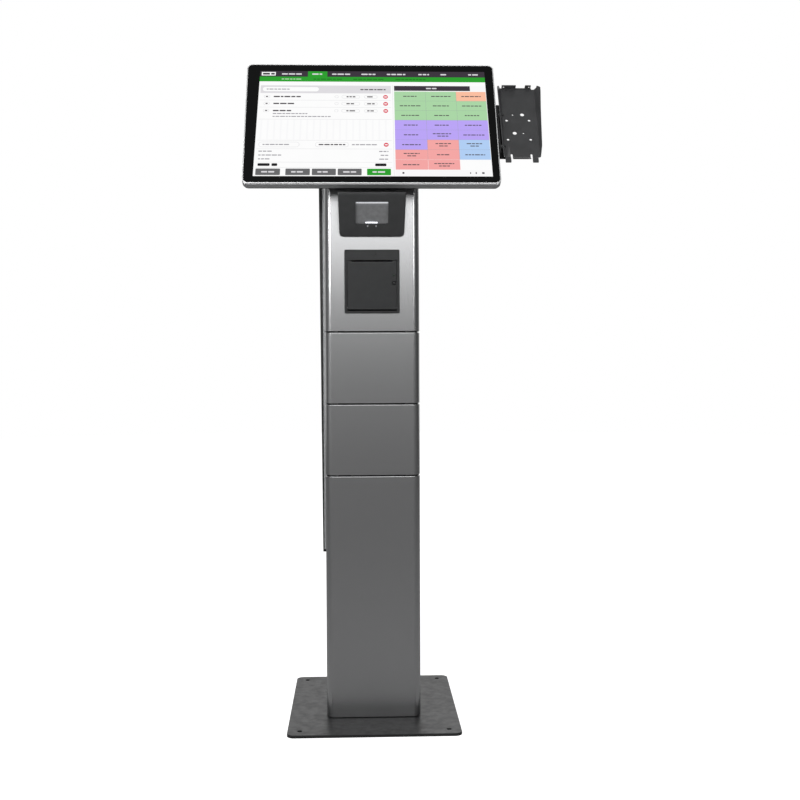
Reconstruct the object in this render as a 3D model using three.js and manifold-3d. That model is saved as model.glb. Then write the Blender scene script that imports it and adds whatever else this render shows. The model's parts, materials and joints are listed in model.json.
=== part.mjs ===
// Floor-standing self-service payment kiosk: a slim sheet-metal column on a flat base plate, with a
// tilting touch display, a downward-facing code scanner, a panel receipt printer and an empty
// sheet-steel cradle that takes a hand-held card terminal beside the display.
//
// Millimetres, +Z up. The front faces -Y and the cradle is on the +X side. The origin is the centre
// of the base plate's underside, on the floor.

import * as THREE from 'three';
import { mergeVertices } from 'three/addons/utils/BufferGeometryUtils.js';
import Module from 'manifold-3d';

const wasm = await Module();
wasm.setup();

// ---------------------------------------------------------------- driving dimensions

const GAP = 0.3;              // clearance between pieces that touch
const SHEET = 2;              // thickness of the column's sheet steel

const BASE = {
  width: 350, depth: 418, thick: 6, corner: 15,
  holeInset: { x: 25, y: 27 },  // middle of an anchor hole from the plate's two edges
  holeRadius: 4.8,
};

const COLUMN = {
  width: 196,                 // across the side panels
  front: -102,                // y of the front face
  back: 36,                   // y of the panels' rear edge
  cornerWide: 15,             // the front corners are quarter ellipses
  cornerDeep: 28,
  returnWide: 10,             // the panels' inward lips at the rear opening
  top: 1138,
  seam: 2,                    // dark gap between two panels
};
const SEAMS = [510, 658, 806]; // heights of the gaps between the four front panels

const CAP = { thick: 2.5, holeY: 10, holeRadius: 12.3 };

// The door is wider than the column on its free side, where its lip is turned back.
const DOOR = {
  bottom: 330, top: 1136,
  lipTop: 112.3, lipBottom: 107.5, lipThick: 2, lipDeep: 9,
  hingeX: 97.5, hingeY: 41.7,
};
const LOCK = { x: -58, z: 740, radius: 8, plugRadius: 5, flange: 3 };
const VENT = { high: 5, corner: 2.4, pitch: 14 };

const DISPLAY = {
  width: 512, height: 305, corner: 12, edgeDepth: 18, depth: 40,
  centreY: -114, centreZ: 1230, leanDeg: 28.5,   // laid back from upright
  pivotBehind: 60,                               // tilt axis, behind the glass
};

const PRINTER = {
  width: 113, bottom: 843.5, top: 973.5, proud: 3,
  doorWidth: 101, doorBottom: 851.3, doorTop: 951, doorThick: 3,
  hingeY: -100.5, hingeZ: 855,
  slotWidth: 82, platenRadius: 6, platenY: -91, platenZ: 942, shaftRadius: 2,
  pinRadius: 1.6, pinHole: 1.9,
  rollRadius: 31, rollWidth: 79.5, rollY: -54, rollZ: 892.5,
  buttonX: 45, buttonZ: 905, buttonHole: 4.3, ledZ: 921, ledRadius: 2,
  cutout: { half: 54, bottom: 846, top: 971 },         // in the column's upper panel
};

const SCANNER = {
  topWidth: 136, bottomWidth: 132, bottom: 1000, top: 1081.5, reach: 68, wall: 2.5,
  windowWide: 66, windowHigh: 52.5, windowAlong: 55,   // middle of the window, up the face
  indicatorX: 8.5, indicatorRadius: 1.2,
  cutout: { half: 40, bottom: 1015, top: 1062 },       // in the column's upper panel
};

const TRAY = {
  left: 267, right: 338,      // floor of the cradle tray, from the display's centre
  bottom: -84, top: 93,
  face: -4, thick: 2,         // front face of the floor, against the glass plane
  wallHeight: 14, flareLeft: 6, flareRight: 11,
};

// ---------------------------------------------------------------- materials

const PAINT = {
  silver: { color: 0x86888a, roughness: 0.38, metalness: 0.75 },
  black: { color: 0x1c1d1f, roughness: 0.55, metalness: 0.2 },
  charcoal: { color: 0x2e2f31, roughness: 0.6, metalness: 0.3 },
  plastic: { color: 0x26272a, roughness: 0.5, metalness: 0 },
  glass: { color: 0x08090b, roughness: 0.06, metalness: 0 },
  screen: { color: 0xd9dcdf, roughness: 0.4, metalness: 0 },
  smoked: { color: 0x5a5c60, roughness: 0.15, metalness: 0 },
  zinc: { color: 0xb4b8bb, roughness: 0.42, metalness: 0.85 },
  steel: { color: 0x9a9da0, roughness: 0.3, metalness: 0.95 },
  alloy: { color: 0x4b4d50, roughness: 0.4, metalness: 0.8 },
  rubber: { color: 0x17181a, roughness: 0.9, metalness: 0 },
  foam: { color: 0xb9bbbd, roughness: 0.95, metalness: 0 },
  paper: { color: 0xf2f1ec, roughness: 0.9, metalness: 0 },
  board: { color: 0x1d5a3a, roughness: 0.5, metalness: 0.1 },
  light: { color: 0xf5f7ff, roughness: 0.3, metalness: 0 },
  green: { color: 0x2fa84a, roughness: 0.3, metalness: 0 },
};

// ---------------------------------------------------------------- solids and booleans

// A closed geometry as a manifold solid, without its collapsed triangles.
function solid(source) {
  const bare = source.clone();
  bare.deleteAttribute('normal');
  bare.deleteAttribute('uv');
  const merged = mergeVertices(bare, 1e-4);
  const corners = merged.index.array;
  const kept = [];
  for (let i = 0; i < corners.length; i += 3) {
    const [a, b, c] = corners.subarray(i, i + 3);
    if (a !== b && b !== c && c !== a) kept.push(a, b, c);
  }
  return new wasm.Manifold(new wasm.Mesh({
    numProp: 3,
    vertProperties: new Float32Array(merged.attributes.position.array),
    triVerts: new Uint32Array(kept),
  }));
}

function geometryOf(manifold) {
  const mesh = manifold.getMesh();
  const geometry = new THREE.BufferGeometry();
  geometry.setAttribute('position', new THREE.BufferAttribute(mesh.vertProperties, 3));
  geometry.setIndex(new THREE.BufferAttribute(mesh.triVerts, 1));
  geometry.computeVertexNormals();
  return geometry;
}

const join = (...parts) => parts.reduce((sum, part) => sum.add(part));
const cut = (body, ...tools) => tools.reduce((rest, tool) => rest.subtract(tool), body);

// A box between two corners, given as ranges along x, y and z.
function block([x0, x1], [y0, y1], [z0, z1]) {
  const box = new THREE.BoxGeometry(x1 - x0, y1 - y0, z1 - z0);
  return solid(box.translate((x0 + x1) / 2, (y0 + y1) / 2, (z0 + z1) / 2));
}

// How a flat outline (a, b) is laid in space before it is extruded along an axis.
const LAY = {
  x: new THREE.Matrix4().makeBasis(
    new THREE.Vector3(0, 1, 0), new THREE.Vector3(0, 0, 1), new THREE.Vector3(1, 0, 0)),
  y: new THREE.Matrix4().makeBasis(
    new THREE.Vector3(1, 0, 0), new THREE.Vector3(0, 0, 1), new THREE.Vector3(0, -1, 0)),
  z: new THREE.Matrix4(),
};

// Extrudes a shape along x (outline in y, z), y (outline in x, z) or z (outline in x, y).
function prism(shape, axis, from, to, curveSegments = 8) {
  const geometry = new THREE.ExtrudeGeometry(shape, {
    depth: to - from, bevelEnabled: false, curveSegments,
  });
  geometry.applyMatrix4(LAY[axis]);
  const start = { x: [from, 0, 0], y: [0, to, 0], z: [0, 0, from] }[axis];
  return solid(geometry.translate(...start));
}

function polygon(points) {
  return new THREE.Shape(points.map(([a, b]) => new THREE.Vector2(a, b)));
}

function roundedRect(width, height, radius, centreA = 0, centreB = 0) {
  const [a, b] = [width / 2 - radius, height / 2 - radius];
  const shape = new THREE.Shape();
  shape.absarc(centreA + a, centreB - b, radius, -Math.PI / 2, 0);
  shape.absarc(centreA + a, centreB + b, radius, 0, Math.PI / 2);
  shape.absarc(centreA - a, centreB + b, radius, Math.PI / 2, Math.PI);
  shape.absarc(centreA - a, centreB - b, radius, Math.PI, Math.PI * 1.5);
  return shape;
}

// A round bar along an axis, from one end to the other.
function rod(axis, radius, [x, y, z], length, sides = 20) {
  const bar = new THREE.CylinderGeometry(radius, radius, length, sides);
  if (axis === 'x') bar.rotateZ(-Math.PI / 2);
  if (axis === 'z') bar.rotateX(Math.PI / 2);
  return solid(bar.translate(x, y, z));
}

// The closed outline of a bent sheet that follows a line of points, thickened to its left.
function bentSheet(points, thickness) {
  const line = points.map(([a, b]) => new THREE.Vector2(a, b));
  const normals = [];
  for (let i = 1; i < line.length; i += 1) {
    const along = line[i].clone().sub(line[i - 1]).normalize();
    normals.push(new THREE.Vector2(-along.y, along.x));
  }
  const offset = line.map((point, i) => {
    const before = normals[Math.max(i - 1, 0)];
    const after = normals[Math.min(i, normals.length - 1)];
    const mitre = before.clone().add(after).normalize();
    return point.clone().addScaledVector(mitre, thickness / mitre.dot(before));
  });
  return new THREE.Shape([...line, ...offset.reverse()]);
}

const kiosk = new THREE.Group();

function addMesh(group, name, manifold, paint) {
  const mesh = new THREE.Mesh(geometryOf(manifold), new THREE.MeshStandardMaterial(PAINT[paint]));
  mesh.name = name;
  group.add(mesh);
}

const add = (name, manifold, paint) => addMesh(kiosk, name, manifold, paint);

// ---------------------------------------------------------------- base and chassis

const POST = { x: 82, y0: 2, y1: 30, wide: 22, thick: 2.5, below: 6 };  // the two uprights
const FOOT_BOLTS = [[-62, -40], [62, -40], [-62, 18], [62, 18]];
const CABLE_HOLE = roundedRect(60, 30, 12, 0, -30);    // cable entry through base and foot
const FOOT = { half: 94, front: -60, back: 30, thick: 5 };
const FOOT_TOP = BASE.thick + GAP + FOOT.thick;
const BOLT = {
  radius: 4, bottom: 1.1, plateHole: 4.3, flangeHole: 4.5,
  washer: 8, washerThick: 1.6, head: 7, headHigh: 5.4,
};

function addBase() {
  const holeX = BASE.width / 2 - BASE.holeInset.x;
  const holeY = BASE.depth / 2 - BASE.holeInset.y;
  const outline = roundedRect(BASE.width, BASE.depth, BASE.corner);
  let plate = prism(outline, 'z', 0, BASE.thick);
  for (const x of [-holeX, holeX]) {
    for (const y of [-holeY, holeY]) {
      plate = cut(plate, rod('z', BASE.holeRadius, [x, y, BASE.thick / 2], BASE.thick * 2));
    }
  }
  for (const [x, y] of FOOT_BOLTS) {
    plate = cut(plate, rod('z', BOLT.plateHole, [x, y, BASE.thick / 2], BASE.thick * 2, 12));
  }
  add('base_plate', cut(plate, prism(CABLE_HOLE, 'z', -1, BASE.thick + 1, 4)), 'black');
}

function addChassis() {
  const flangeBottom = BASE.thick + GAP;
  let flange = block([-FOOT.half, FOOT.half], [FOOT.front, FOOT.back], [flangeBottom, FOOT_TOP]);
  flange = cut(flange, prism(CABLE_HOLE, 'z', 0, 20, 4));
  for (const [x, y] of FOOT_BOLTS) {
    flange = cut(flange, rod('z', BOLT.flangeHole, [x, y, flangeBottom], 20, 12));
  }
  add('foot_flange', flange, 'zinc');

  FOOT_BOLTS.forEach(([x, y], i) => {
    const seat = FOOT_TOP + GAP;
    const shankLength = seat + 1 - BOLT.bottom;
    const shank = rod('z', BOLT.radius, [x, y, BOLT.bottom + shankLength / 2], shankLength, 12);
    const washerZ = seat + BOLT.washerThick / 2;
    const washer = rod('z', BOLT.washer, [x, y, washerZ], BOLT.washerThick, 16);
    const headZ = seat + BOLT.washerThick - 0.3 + BOLT.headHigh / 2;
    const head = rod('z', BOLT.head, [x, y, headZ], BOLT.headHigh, 6);
    add(`foot_bolt_${i + 1}`, join(shank, washer, head), 'steel');
  });

  const { x, y0, y1, wide } = POST;
  const channel = [
    [x - wide / 2 + 2, y0], [x + wide / 2, y0], [x + wide / 2, y1], [x - wide / 2 + 2, y1],
  ];
  const section = bentSheet(channel, POST.thick);
  const post = prism(section, 'z', FOOT_TOP + GAP, COLUMN.top - POST.below);
  add('chassis_post_right', post, 'zinc');
  add('chassis_post_left', post.mirror([1, 0, 0]), 'zinc');
}

const SHELF = { front: -60, back: 26, lip: 14 };

// A folded shelf between the posts, with an oblong cable hole.
function addShelf(name, z) {
  const inner = POST.x - POST.wide / 2 - 1;
  const tray = [[-inner, z + SHELF.lip], [-inner, z], [inner, z], [inner, z + SHELF.lip]];
  const shelf = prism(bentSheet(tray, SHEET), 'y', SHELF.front, SHELF.back);
  const cableHole = prism(roundedRect(34, 22, 6, 40, 8), 'z', z - 5, z + 10, 3);
  add(name, cut(shelf, cableHole), 'zinc');
}

// ---------------------------------------------------------------- column panels

// Plan outline of a front panel: front, elliptical corners, sides and inward rear lips.
function panelOutline() {
  const half = COLUMN.width / 2;
  const cornerX = half - COLUMN.cornerWide;
  const cornerY = COLUMN.front + COLUMN.cornerDeep;
  const wide = COLUMN.cornerWide;
  const deep = COLUMN.cornerDeep;
  const lip = half - COLUMN.returnWide;
  const shape = new THREE.Shape();
  shape.moveTo(-half, COLUMN.back);
  shape.lineTo(-half, cornerY);
  shape.absellipse(-cornerX, cornerY, wide, deep, Math.PI, Math.PI * 1.5);
  shape.absellipse(cornerX, cornerY, wide, deep, Math.PI * 1.5, Math.PI * 2);
  shape.lineTo(half, COLUMN.back);
  shape.lineTo(lip, COLUMN.back);
  shape.lineTo(lip, COLUMN.back - SHEET);
  shape.lineTo(half - SHEET, COLUMN.back - SHEET);
  shape.lineTo(half - SHEET, cornerY);
  shape.absellipse(cornerX, cornerY, wide - SHEET, deep - SHEET, 0, -Math.PI / 2, true);
  shape.absellipse(-cornerX, cornerY, wide - SHEET, deep - SHEET, -Math.PI / 2, -Math.PI, true);
  shape.lineTo(-half + SHEET, COLUMN.back - SHEET);
  shape.lineTo(-lip, COLUMN.back - SHEET);
  shape.lineTo(-lip, COLUMN.back);
  return shape;
}

function addPanels() {
  const names = ['panel_lower', 'panel_mid_lower', 'panel_mid_upper', 'panel_upper'];
  const bottoms = [BASE.thick + 1.2, ...SEAMS.map((z) => z + COLUMN.seam / 2)];
  const tops = [...SEAMS.map((z) => z - COLUMN.seam / 2), COLUMN.top];
  const outline = panelOutline();
  names.forEach((name, i) => {
    let panel = prism(outline, 'z', bottoms[i], tops[i], 8);
    if (name === 'panel_upper') {
      const holes = [PRINTER.cutout, SCANNER.cutout].map(({ half, bottom, top }) => (
        block([-half, half], [COLUMN.front - 8, COLUMN.front + 7], [bottom, top])));
      panel = cut(panel, ...holes);
    }
    add(name, panel, 'silver');
  });

  const half = COLUMN.width / 2;
  const cornerX = half - COLUMN.cornerWide;
  const cornerY = COLUMN.front + COLUMN.cornerDeep;
  const lid = new THREE.Shape();
  lid.moveTo(-half, COLUMN.back);
  const { cornerWide, cornerDeep } = COLUMN;
  lid.absellipse(-cornerX, cornerY, cornerWide, cornerDeep, Math.PI, Math.PI * 1.5);
  lid.absellipse(cornerX, cornerY, cornerWide, cornerDeep, Math.PI * 1.5, Math.PI * 2);
  lid.lineTo(half, COLUMN.back);
  const cap = prism(lid, 'z', COLUMN.top + GAP, COLUMN.top + GAP + CAP.thick, 7);
  const cableHole = rod('z', CAP.holeRadius, [0, CAP.holeY, COLUMN.top], 20, 24);
  add('column_cap', cut(cap, cableHole), 'black');

  const flangeThick = 3;
  const flangeZ = COLUMN.top + GAP * 2 + CAP.thick + flangeThick / 2;
  const grommet = join(
    rod('z', CAP.holeRadius - GAP, [0, CAP.holeY, COLUMN.top + 1.5], 8, 24),
    rod('z', 15, [0, CAP.holeY, flangeZ], flangeThick, 24),
  );
  add('cable_grommet', cut(grommet, rod('z', 8, [0, CAP.holeY, COLUMN.top], 40, 20)), 'rubber');
}

// ---------------------------------------------------------------- rear cover, door and lock

const DOOR_Y = [COLUMN.back + GAP, COLUMN.back + GAP + SHEET];
const HINGE_HEIGHTS = { lower: 470, upper: 1010 };
const KNUCKLE = { radius: 3.2, bore: 1.9, length: 24, pin: 1.6 };

function addRearCover() {
  const half = COLUMN.width / 2 - GAP;
  let cover = block([-half, half], DOOR_Y, [BASE.thick + 2, DOOR.bottom - 2]);
  const inletHole = block([17, 63], [30, 45], [42, 84]);
  cover = cut(cover, inletHole);
  for (let row = 0; row < 4; row += 1) {
    const slot = roundedRect(70, VENT.high, VENT.corner, -20, 250 + row * VENT.pitch);
    cover = cut(cover, prism(slot, 'y', 30, 45, 3));
  }
  add('rear_cover_lower', cover, 'black');
}

function addDoor() {
  const right = DOOR.hingeX - 1.5;
  const [front, back] = DOOR_Y;
  const outline = polygon([
    [right, DOOR.bottom], [right, DOOR.top],
    [-DOOR.lipTop, DOOR.top], [-DOOR.lipBottom, DOOR.bottom],
  ]);
  let door = prism(outline, 'y', front, back);
  const lip = polygon([
    [-DOOR.lipBottom, DOOR.bottom], [-DOOR.lipBottom + DOOR.lipThick, DOOR.bottom],
    [-DOOR.lipTop + DOOR.lipThick, DOOR.top], [-DOOR.lipTop, DOOR.top],
  ]);
  door = join(door, prism(lip, 'y', back - 1, back + DOOR.lipDeep));
  for (const z of Object.values(HINGE_HEIGHTS)) {
    const barrelZ = z + KNUCKLE.length / 2 + GAP;
    const barrel = rod('z', KNUCKLE.radius, [DOOR.hingeX, DOOR.hingeY, barrelZ], KNUCKLE.length);
    const web = block([right - 12, right], [back - 1, DOOR.hingeY],
      [barrelZ - KNUCKLE.length / 2, barrelZ + KNUCKLE.length / 2]);
    const bore = rod('z', KNUCKLE.bore, [DOOR.hingeX, DOOR.hingeY, barrelZ], 40, 16);
    door = cut(join(door, barrel, web), bore);
  }
  door = cut(door, rod('y', LOCK.radius + GAP, [LOCK.x, back, LOCK.z], 20, 24));
  for (let row = 0; row < 6; row += 1) {
    const slot = roundedRect(90, VENT.high, VENT.corner, 0, 1020 + row * VENT.pitch);
    door = cut(door, prism(slot, 'y', front - 2, back + 2, 3));
  }
  add('rear_door', door, 'black');

  const sealX = [-COLUMN.width / 2 - 6.5, -COLUMN.width / 2 - 1];
  const sealEnds = [DOOR.bottom + 6, DOOR.top - 6];
  add('door_seal', block(sealX, [front - GAP - 5, front - GAP], sealEnds), 'foam');

  for (const [name, z] of Object.entries(HINGE_HEIGHTS)) {
    const knuckleZ = z - KNUCKLE.length / 2 - GAP;
    const span = [knuckleZ - KNUCKLE.length / 2, knuckleZ + KNUCKLE.length / 2];
    const barrel = rod('z', KNUCKLE.radius, [DOOR.hingeX, DOOR.hingeY, knuckleZ], KNUCKLE.length);
    const leafX = [COLUMN.width / 2 + GAP, COLUMN.width / 2 + GAP + 1.6];
    const leaf = block(leafX, [10, DOOR.hingeY], [z - 34, span[1]]);
    const bore = rod('z', KNUCKLE.bore, [DOOR.hingeX, DOOR.hingeY, knuckleZ], 40, 16);
    add(`hinge_leaf_${name}`, cut(join(leaf, barrel), bore), 'steel');
    const pin = rod('z', KNUCKLE.pin, [DOOR.hingeX, DOOR.hingeY, z], KNUCKLE.length * 2, 16);
    add(`hinge_pin_${name}`, pin, 'steel');
  }

  const { x, z, radius, plugRadius, flange } = LOCK;
  const barrel = join(
    rod('y', radius, [x, front - 4, z], 17, 24),
    rod('y', radius + flange, [x, back + GAP + 1.5 + 1.6, z], flange, 24),
    rod('y', radius, [x, back + 1, z], 6, 24),
  );
  add('lock_barrel', cut(barrel, rod('y', plugRadius + GAP, [x, back, z], 50, 20)), 'steel');
  const keySlot = block([x - 0.8, x + 0.8], [back + 3, back + 20], [z - 3, z + 3]);
  const plug = cut(rod('y', plugRadius, [x, back - 4, z], 23, 20), keySlot);
  const cam = join(plug, block([x - 6, x + 6], [front - 15.5, front - 13], [z - 18, z + 6]));
  add('lock_cam', cam, 'steel');
}

// ---------------------------------------------------------------- power parts in the column

const ROCKER_LEAN = THREE.MathUtils.degToRad(8);
const INLET = { x: 40, z: 56, switchZ: 75 };   // the socket below, the rocker switch above
const SUPPLY = { half: 45, front: -52, back: 8, bottom: 370, top: 520, slots: 5, slotPitch: 22 };

function addPowerParts() {
  const { half, bottom, slotPitch } = SUPPLY;
  let supply = block([-half, half], [SUPPLY.front, SUPPLY.back], [bottom, SUPPLY.top]);
  for (let i = 0; i < SUPPLY.slots; i += 1) {
    const slotZ = bottom + 25 + i * slotPitch;
    supply = cut(supply, block([-35, 35], [SUPPLY.back - 3, SUPPLY.back + 4], [slotZ, slotZ + 6]));
  }
  add('power_supply', supply, 'alloy');

  const [front, back] = DOOR_Y;
  const { x, z, switchZ } = INLET;
  const inletBody = join(
    block([x - 22, x + 22], [front - 22, back + 1], [43, 83]),
    block([x - 25, x + 25], [back + GAP, back + 3], [40, 86]),
  );
  const socket = prism(roundedRect(25, 17, 3, x, z), 'y', front - 14, back + 5, 3);
  const rockerBay = block([x - 10, x + 10], [front - 8, back + 5], [switchZ - 6.3, switchZ + 6.3]);
  add('mains_inlet', cut(inletBody, socket, rockerBay), 'plastic');

  const rocker = new THREE.ExtrudeGeometry(polygon([
    [-5, -5.4], [1.6, -5.4], [0.4, 0], [1.6, 5.4], [-5, 5.4],
  ]), { depth: 18, bevelEnabled: false });
  rocker.translate(0, 0, -9).applyMatrix4(LAY.x);
  rocker.rotateX(-ROCKER_LEAN).translate(x, back + 1, switchZ);
  add('rocker_switch', solid(rocker), 'plastic');

  const route = new THREE.CatmullRomCurve3([
    [x, front - 22 - 2 * GAP, 62], [x, front - 31, 62.5], [x + 3, -8, 90],
    [x + 6, -4, 220], [x, 8, 318], [x, 8, 340], [x - 5, 0, 358], [x - 5, 0, bottom - 2 * GAP],
  ].map(([a, b, c]) => new THREE.Vector3(a, b, c)));
  const cableRadius = 3.5;
  const ring = new THREE.Shape().absarc(0, 0, cableRadius, 0, Math.PI * 2);
  const cable = new THREE.ExtrudeGeometry(ring, { steps: 44, curveSegments: 4, extrudePath: route });
  add('mains_cable', solid(cable), 'rubber');
}

// ---------------------------------------------------------------- code scanner

const SCANNER_FOOT = 7;      // how far the wedge's lower edge stands off the column
const SCANNER_BROW = 5;      // height of the upright band along its upper edge
const FACE_RISE = SCANNER.top - SCANNER_BROW - SCANNER.bottom;
const FACE_LEAN = Math.atan2(SCANNER.reach - SCANNER_FOOT, FACE_RISE);

// Side outline of the wedge: (y, z), with the sloping face looking forward and down.
function scannerProfile(inset) {
  const back = COLUMN.front - GAP + (inset ? 5 : 0);
  const top = SCANNER.top - inset;
  const bottom = SCANNER.bottom + inset;
  const shift = inset / Math.cos(FACE_LEAN);
  const slope = Math.tan(FACE_LEAN);
  const footY = COLUMN.front - SCANNER_FOOT + shift - slope * inset;
  const browY = COLUMN.front - SCANNER.reach + inset;
  const browZ = SCANNER.bottom + inset + (footY - browY) / slope;
  return polygon([[back, bottom], [footY, bottom], [browY, browZ], [browY, top], [back, top]]);
}

// The outline of the wedge from the front, narrower and rounded at its bottom.
function scannerFront(inset) {
  const top = SCANNER.topWidth / 2 - inset;
  const bottom = SCANNER.bottomWidth / 2 - inset;
  const radius = 8 - inset;
  const low = SCANNER.bottom + inset;
  const shape = new THREE.Shape();
  shape.moveTo(top, SCANNER.top - inset);
  shape.lineTo(-top, SCANNER.top - inset);
  shape.lineTo(-bottom, low + radius);
  shape.absarc(-bottom + radius, low + radius, radius, Math.PI, Math.PI * 1.5);
  shape.absarc(bottom - radius, low + radius, radius, -Math.PI / 2, 0);
  return shape;
}

// Puts a solid built flat on the XY plane (outward = +Z) onto the scanner's sloping face.
function onFace(manifold, along) {
  const leanDeg = THREE.MathUtils.radToDeg(FACE_LEAN);
  const y = COLUMN.front - SCANNER_FOOT - Math.sin(FACE_LEAN) * along;
  const z = SCANNER.bottom + Math.cos(FACE_LEAN) * along;
  return manifold.rotate([90 + leanDeg, 0, 0]).translate([0, y, z]);
}

function addScanner() {
  const outer = prism(scannerProfile(0), 'x', -80, 80).intersect(
    prism(scannerFront(0), 'y', -180, -90));
  const inner = prism(scannerProfile(SCANNER.wall), 'x', -80, 80).intersect(
    prism(scannerFront(SCANNER.wall), 'y', -180, -90));
  const { windowWide, windowHigh, windowAlong, wall } = SCANNER;
  const sill = windowAlong - windowHigh / 2;
  const opening = prism(roundedRect(windowWide, windowHigh, 2), 'z', -12, 6, 3);
  let housing = cut(outer, inner, onFace(opening, windowAlong));
  const indicators = { left: -SCANNER.indicatorX, right: SCANNER.indicatorX };
  const indicatorAlong = sill - 4.5;
  for (const x of Object.values(indicators)) {
    const hole = rod('z', SCANNER.indicatorRadius + GAP, [x, 0, 0], 20, 12);
    housing = cut(housing, onFace(hole, indicatorAlong));
  }
  add('scanner_housing', housing, 'plastic');

  // The window is behind the face; its light bar lies on it, just above the recess's lower edge.
  const paneFront = -wall - GAP;
  const paneShape = roundedRect(windowWide + 4, windowHigh + 4, 3);
  const pane = prism(paneShape, 'z', paneFront - 2, paneFront, 3);
  add('scanner_window', onFace(pane, windowAlong), 'smoked');
  const engine = join(block([-16, 16], [-12, 12], [-20, -6.5]), rod('z', 5, [0, 0, -12], 13, 16));
  add('scanner_engine', onFace(engine, windowAlong), 'alloy');
  const lightBar = prism(roundedRect(26, 3.6, 0.8), 'z', paneFront + GAP, -0.8, 3);
  add('scanner_led_bar', onFace(lightBar, sill + 3.4), 'light');
  for (const [name, x] of Object.entries(indicators)) {
    const lamp = rod('z', SCANNER.indicatorRadius, [x, 0, -1], 3, 12);
    add(`scanner_indicator_${name}`, onFace(lamp, indicatorAlong), 'light');
  }
}

// ---------------------------------------------------------------- receipt printer

function addPrinter() {
  const P = PRINTER;
  const half = P.width / 2;
  const front = COLUMN.front - P.proud;
  const middle = (P.bottom + P.top) / 2;
  const bezelBack = COLUMN.front - GAP;
  const faceShape = roundedRect(P.width, P.top - P.bottom, 2.5, 0, middle);
  const faceplate = prism(faceShape, 'y', front, bezelBack, 3);
  const sleeve = block([-53, 53], [bezelBack - 1, -89], [P.bottom + 3.2, P.top - 3.2]);
  const doorway = block([-51.2, 51.2], [front - 1, -80], [P.bottom + 5, P.doorTop + 0.7]);
  const sleeveInside = block([-51.2, 51.2], [bezelBack, -80], [P.bottom + 5, P.top - 5]);
  const pinHole = rod('x', P.pinHole, [0, P.hingeY, P.hingeZ], 120, 14);
  add('printer_bezel', cut(join(faceplate, sleeve), doorway, sleeveInside, pinHole), 'plastic');

  const doorHalf = P.doorWidth / 2;
  const doorFront = front - GAP;
  const doorBack = doorFront + P.doorThick;
  let door = block([-doorHalf, doorHalf], [doorFront, doorBack], [P.doorBottom, P.doorTop]);
  const slot = P.slotWidth / 2;
  const slotZ = [P.doorTop - 2, P.doorTop + 1];
  door = cut(door, block([-slot, slot], [doorFront - 1, doorBack + 1], slotZ));
  for (const side of [-1, 1]) {
    const lug = [side * 36, side * 42].sort((a, b) => a - b);
    const cheek = [side * 43, side * 45].sort((a, b) => a - b);
    const lugY = [doorBack - 0.5, P.hingeY + 3.2];
    const cheekY = [doorBack - 0.5, P.platenY + 6];
    door = join(
      door,
      block(lug, lugY, [P.doorBottom + 0.5, P.hingeZ + 4]),
      block(cheek, cheekY, [P.platenZ - 8, P.platenZ + 5]),
    );
  }
  door = cut(
    door,
    pinHole,
    rod('x', P.shaftRadius + 0.4, [0, P.platenY, P.platenZ], 120, 14),
    rod('y', P.buttonHole, [P.buttonX, doorFront, P.buttonZ], 12),
    rod('y', P.ledRadius + GAP, [P.buttonX, doorFront, P.ledZ], 12, 14),
  );
  add('printer_door', door, 'plastic');
  add('printer_door_pin', rod('x', P.pinRadius, [0, P.hingeY, P.hingeZ], 105, 14), 'steel');

  const roller = join(
    rod('x', P.platenRadius, [0, P.platenY, P.platenZ], 80, 24),
    rod('x', P.shaftRadius, [0, P.platenY, P.platenZ], 90, 14),
  );
  add('platen_roller', roller, 'rubber');

  // A domed cap with a wider skirt behind the door, as (radius, height).
  const buttonProfile = [
    [0, -6], [5.4, -6], [5.4, -4.4], [4, -4.4], [4, 0.4], [3.2, 1.1], [1.6, 1.6], [0, 1.8],
  ].map(([radius, height]) => new THREE.Vector2(radius, height));
  const button = new THREE.LatheGeometry(buttonProfile, 20);
  button.rotateX(Math.PI).translate(P.buttonX, doorFront, P.buttonZ);
  add('feed_button', solid(button), 'plastic');
  add('status_led', rod('y', P.ledRadius, [P.buttonX, doorFront + 1.8, P.ledZ], 4, 14), 'green');

  const outside = { x: [-49.5, 49.5], y: [-87, -18], z: [P.bottom + 14.5, P.doorTop + 4] };
  const inside = block([-48, 48], [-100, -19.5], [outside.z[0] + 1.5, outside.z[1] - 1.5]);
  const mouth = block([-60, 60], [-100, -80], [P.platenZ - 15, P.top]);
  add('printer_frame', cut(block(outside.x, outside.y, outside.z), inside, mouth), 'zinc');

  const core = rod('x', 6.5, [0, P.rollY, P.rollZ], 100, 20);
  const roll = rod('x', P.rollRadius, [0, P.rollY, P.rollZ], P.rollWidth, 40);
  add('paper_roll', cut(roll, core), 'paper');

  const headBack = -72;
  const headFront = P.platenY + P.platenRadius + GAP;
  add('print_head', block([-41, 41], [headFront, headBack], [P.platenZ - 12, P.platenZ + 8]), 'alloy');

  const blade = [];
  const toothPitch = 4;
  for (let x = -slot; x < slot; x += toothPitch) {
    blade.push([x, -1.4], [x + toothPitch / 2, 0]);
  }
  blade.push([slot, 5], [-slot, 5]);
  const tearBar = prism(polygon(blade), 'z', P.doorTop + 1.4, P.doorTop + 2.6);
  add('tear_bar', tearBar.translate([0, -99, 0]), 'steel');
}

// ---------------------------------------------------------------- display head

// Everything on the head is built flat: x across, y up the glass, z out of the glass.
const head = new THREE.Group();
const leanRad = THREE.MathUtils.degToRad(DISPLAY.leanDeg);
head.position.set(0, DISPLAY.centreY, DISPLAY.centreZ);
head.rotation.x = Math.PI / 2 - leanRad;
kiosk.add(head);

const addToHead = (name, manifold, paint) => addMesh(head, name, manifold, paint);
const REAR = -DISPLAY.edgeDepth;     // back of the frame
const DEEP = -DISPLAY.depth;         // back of the rear cover

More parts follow.
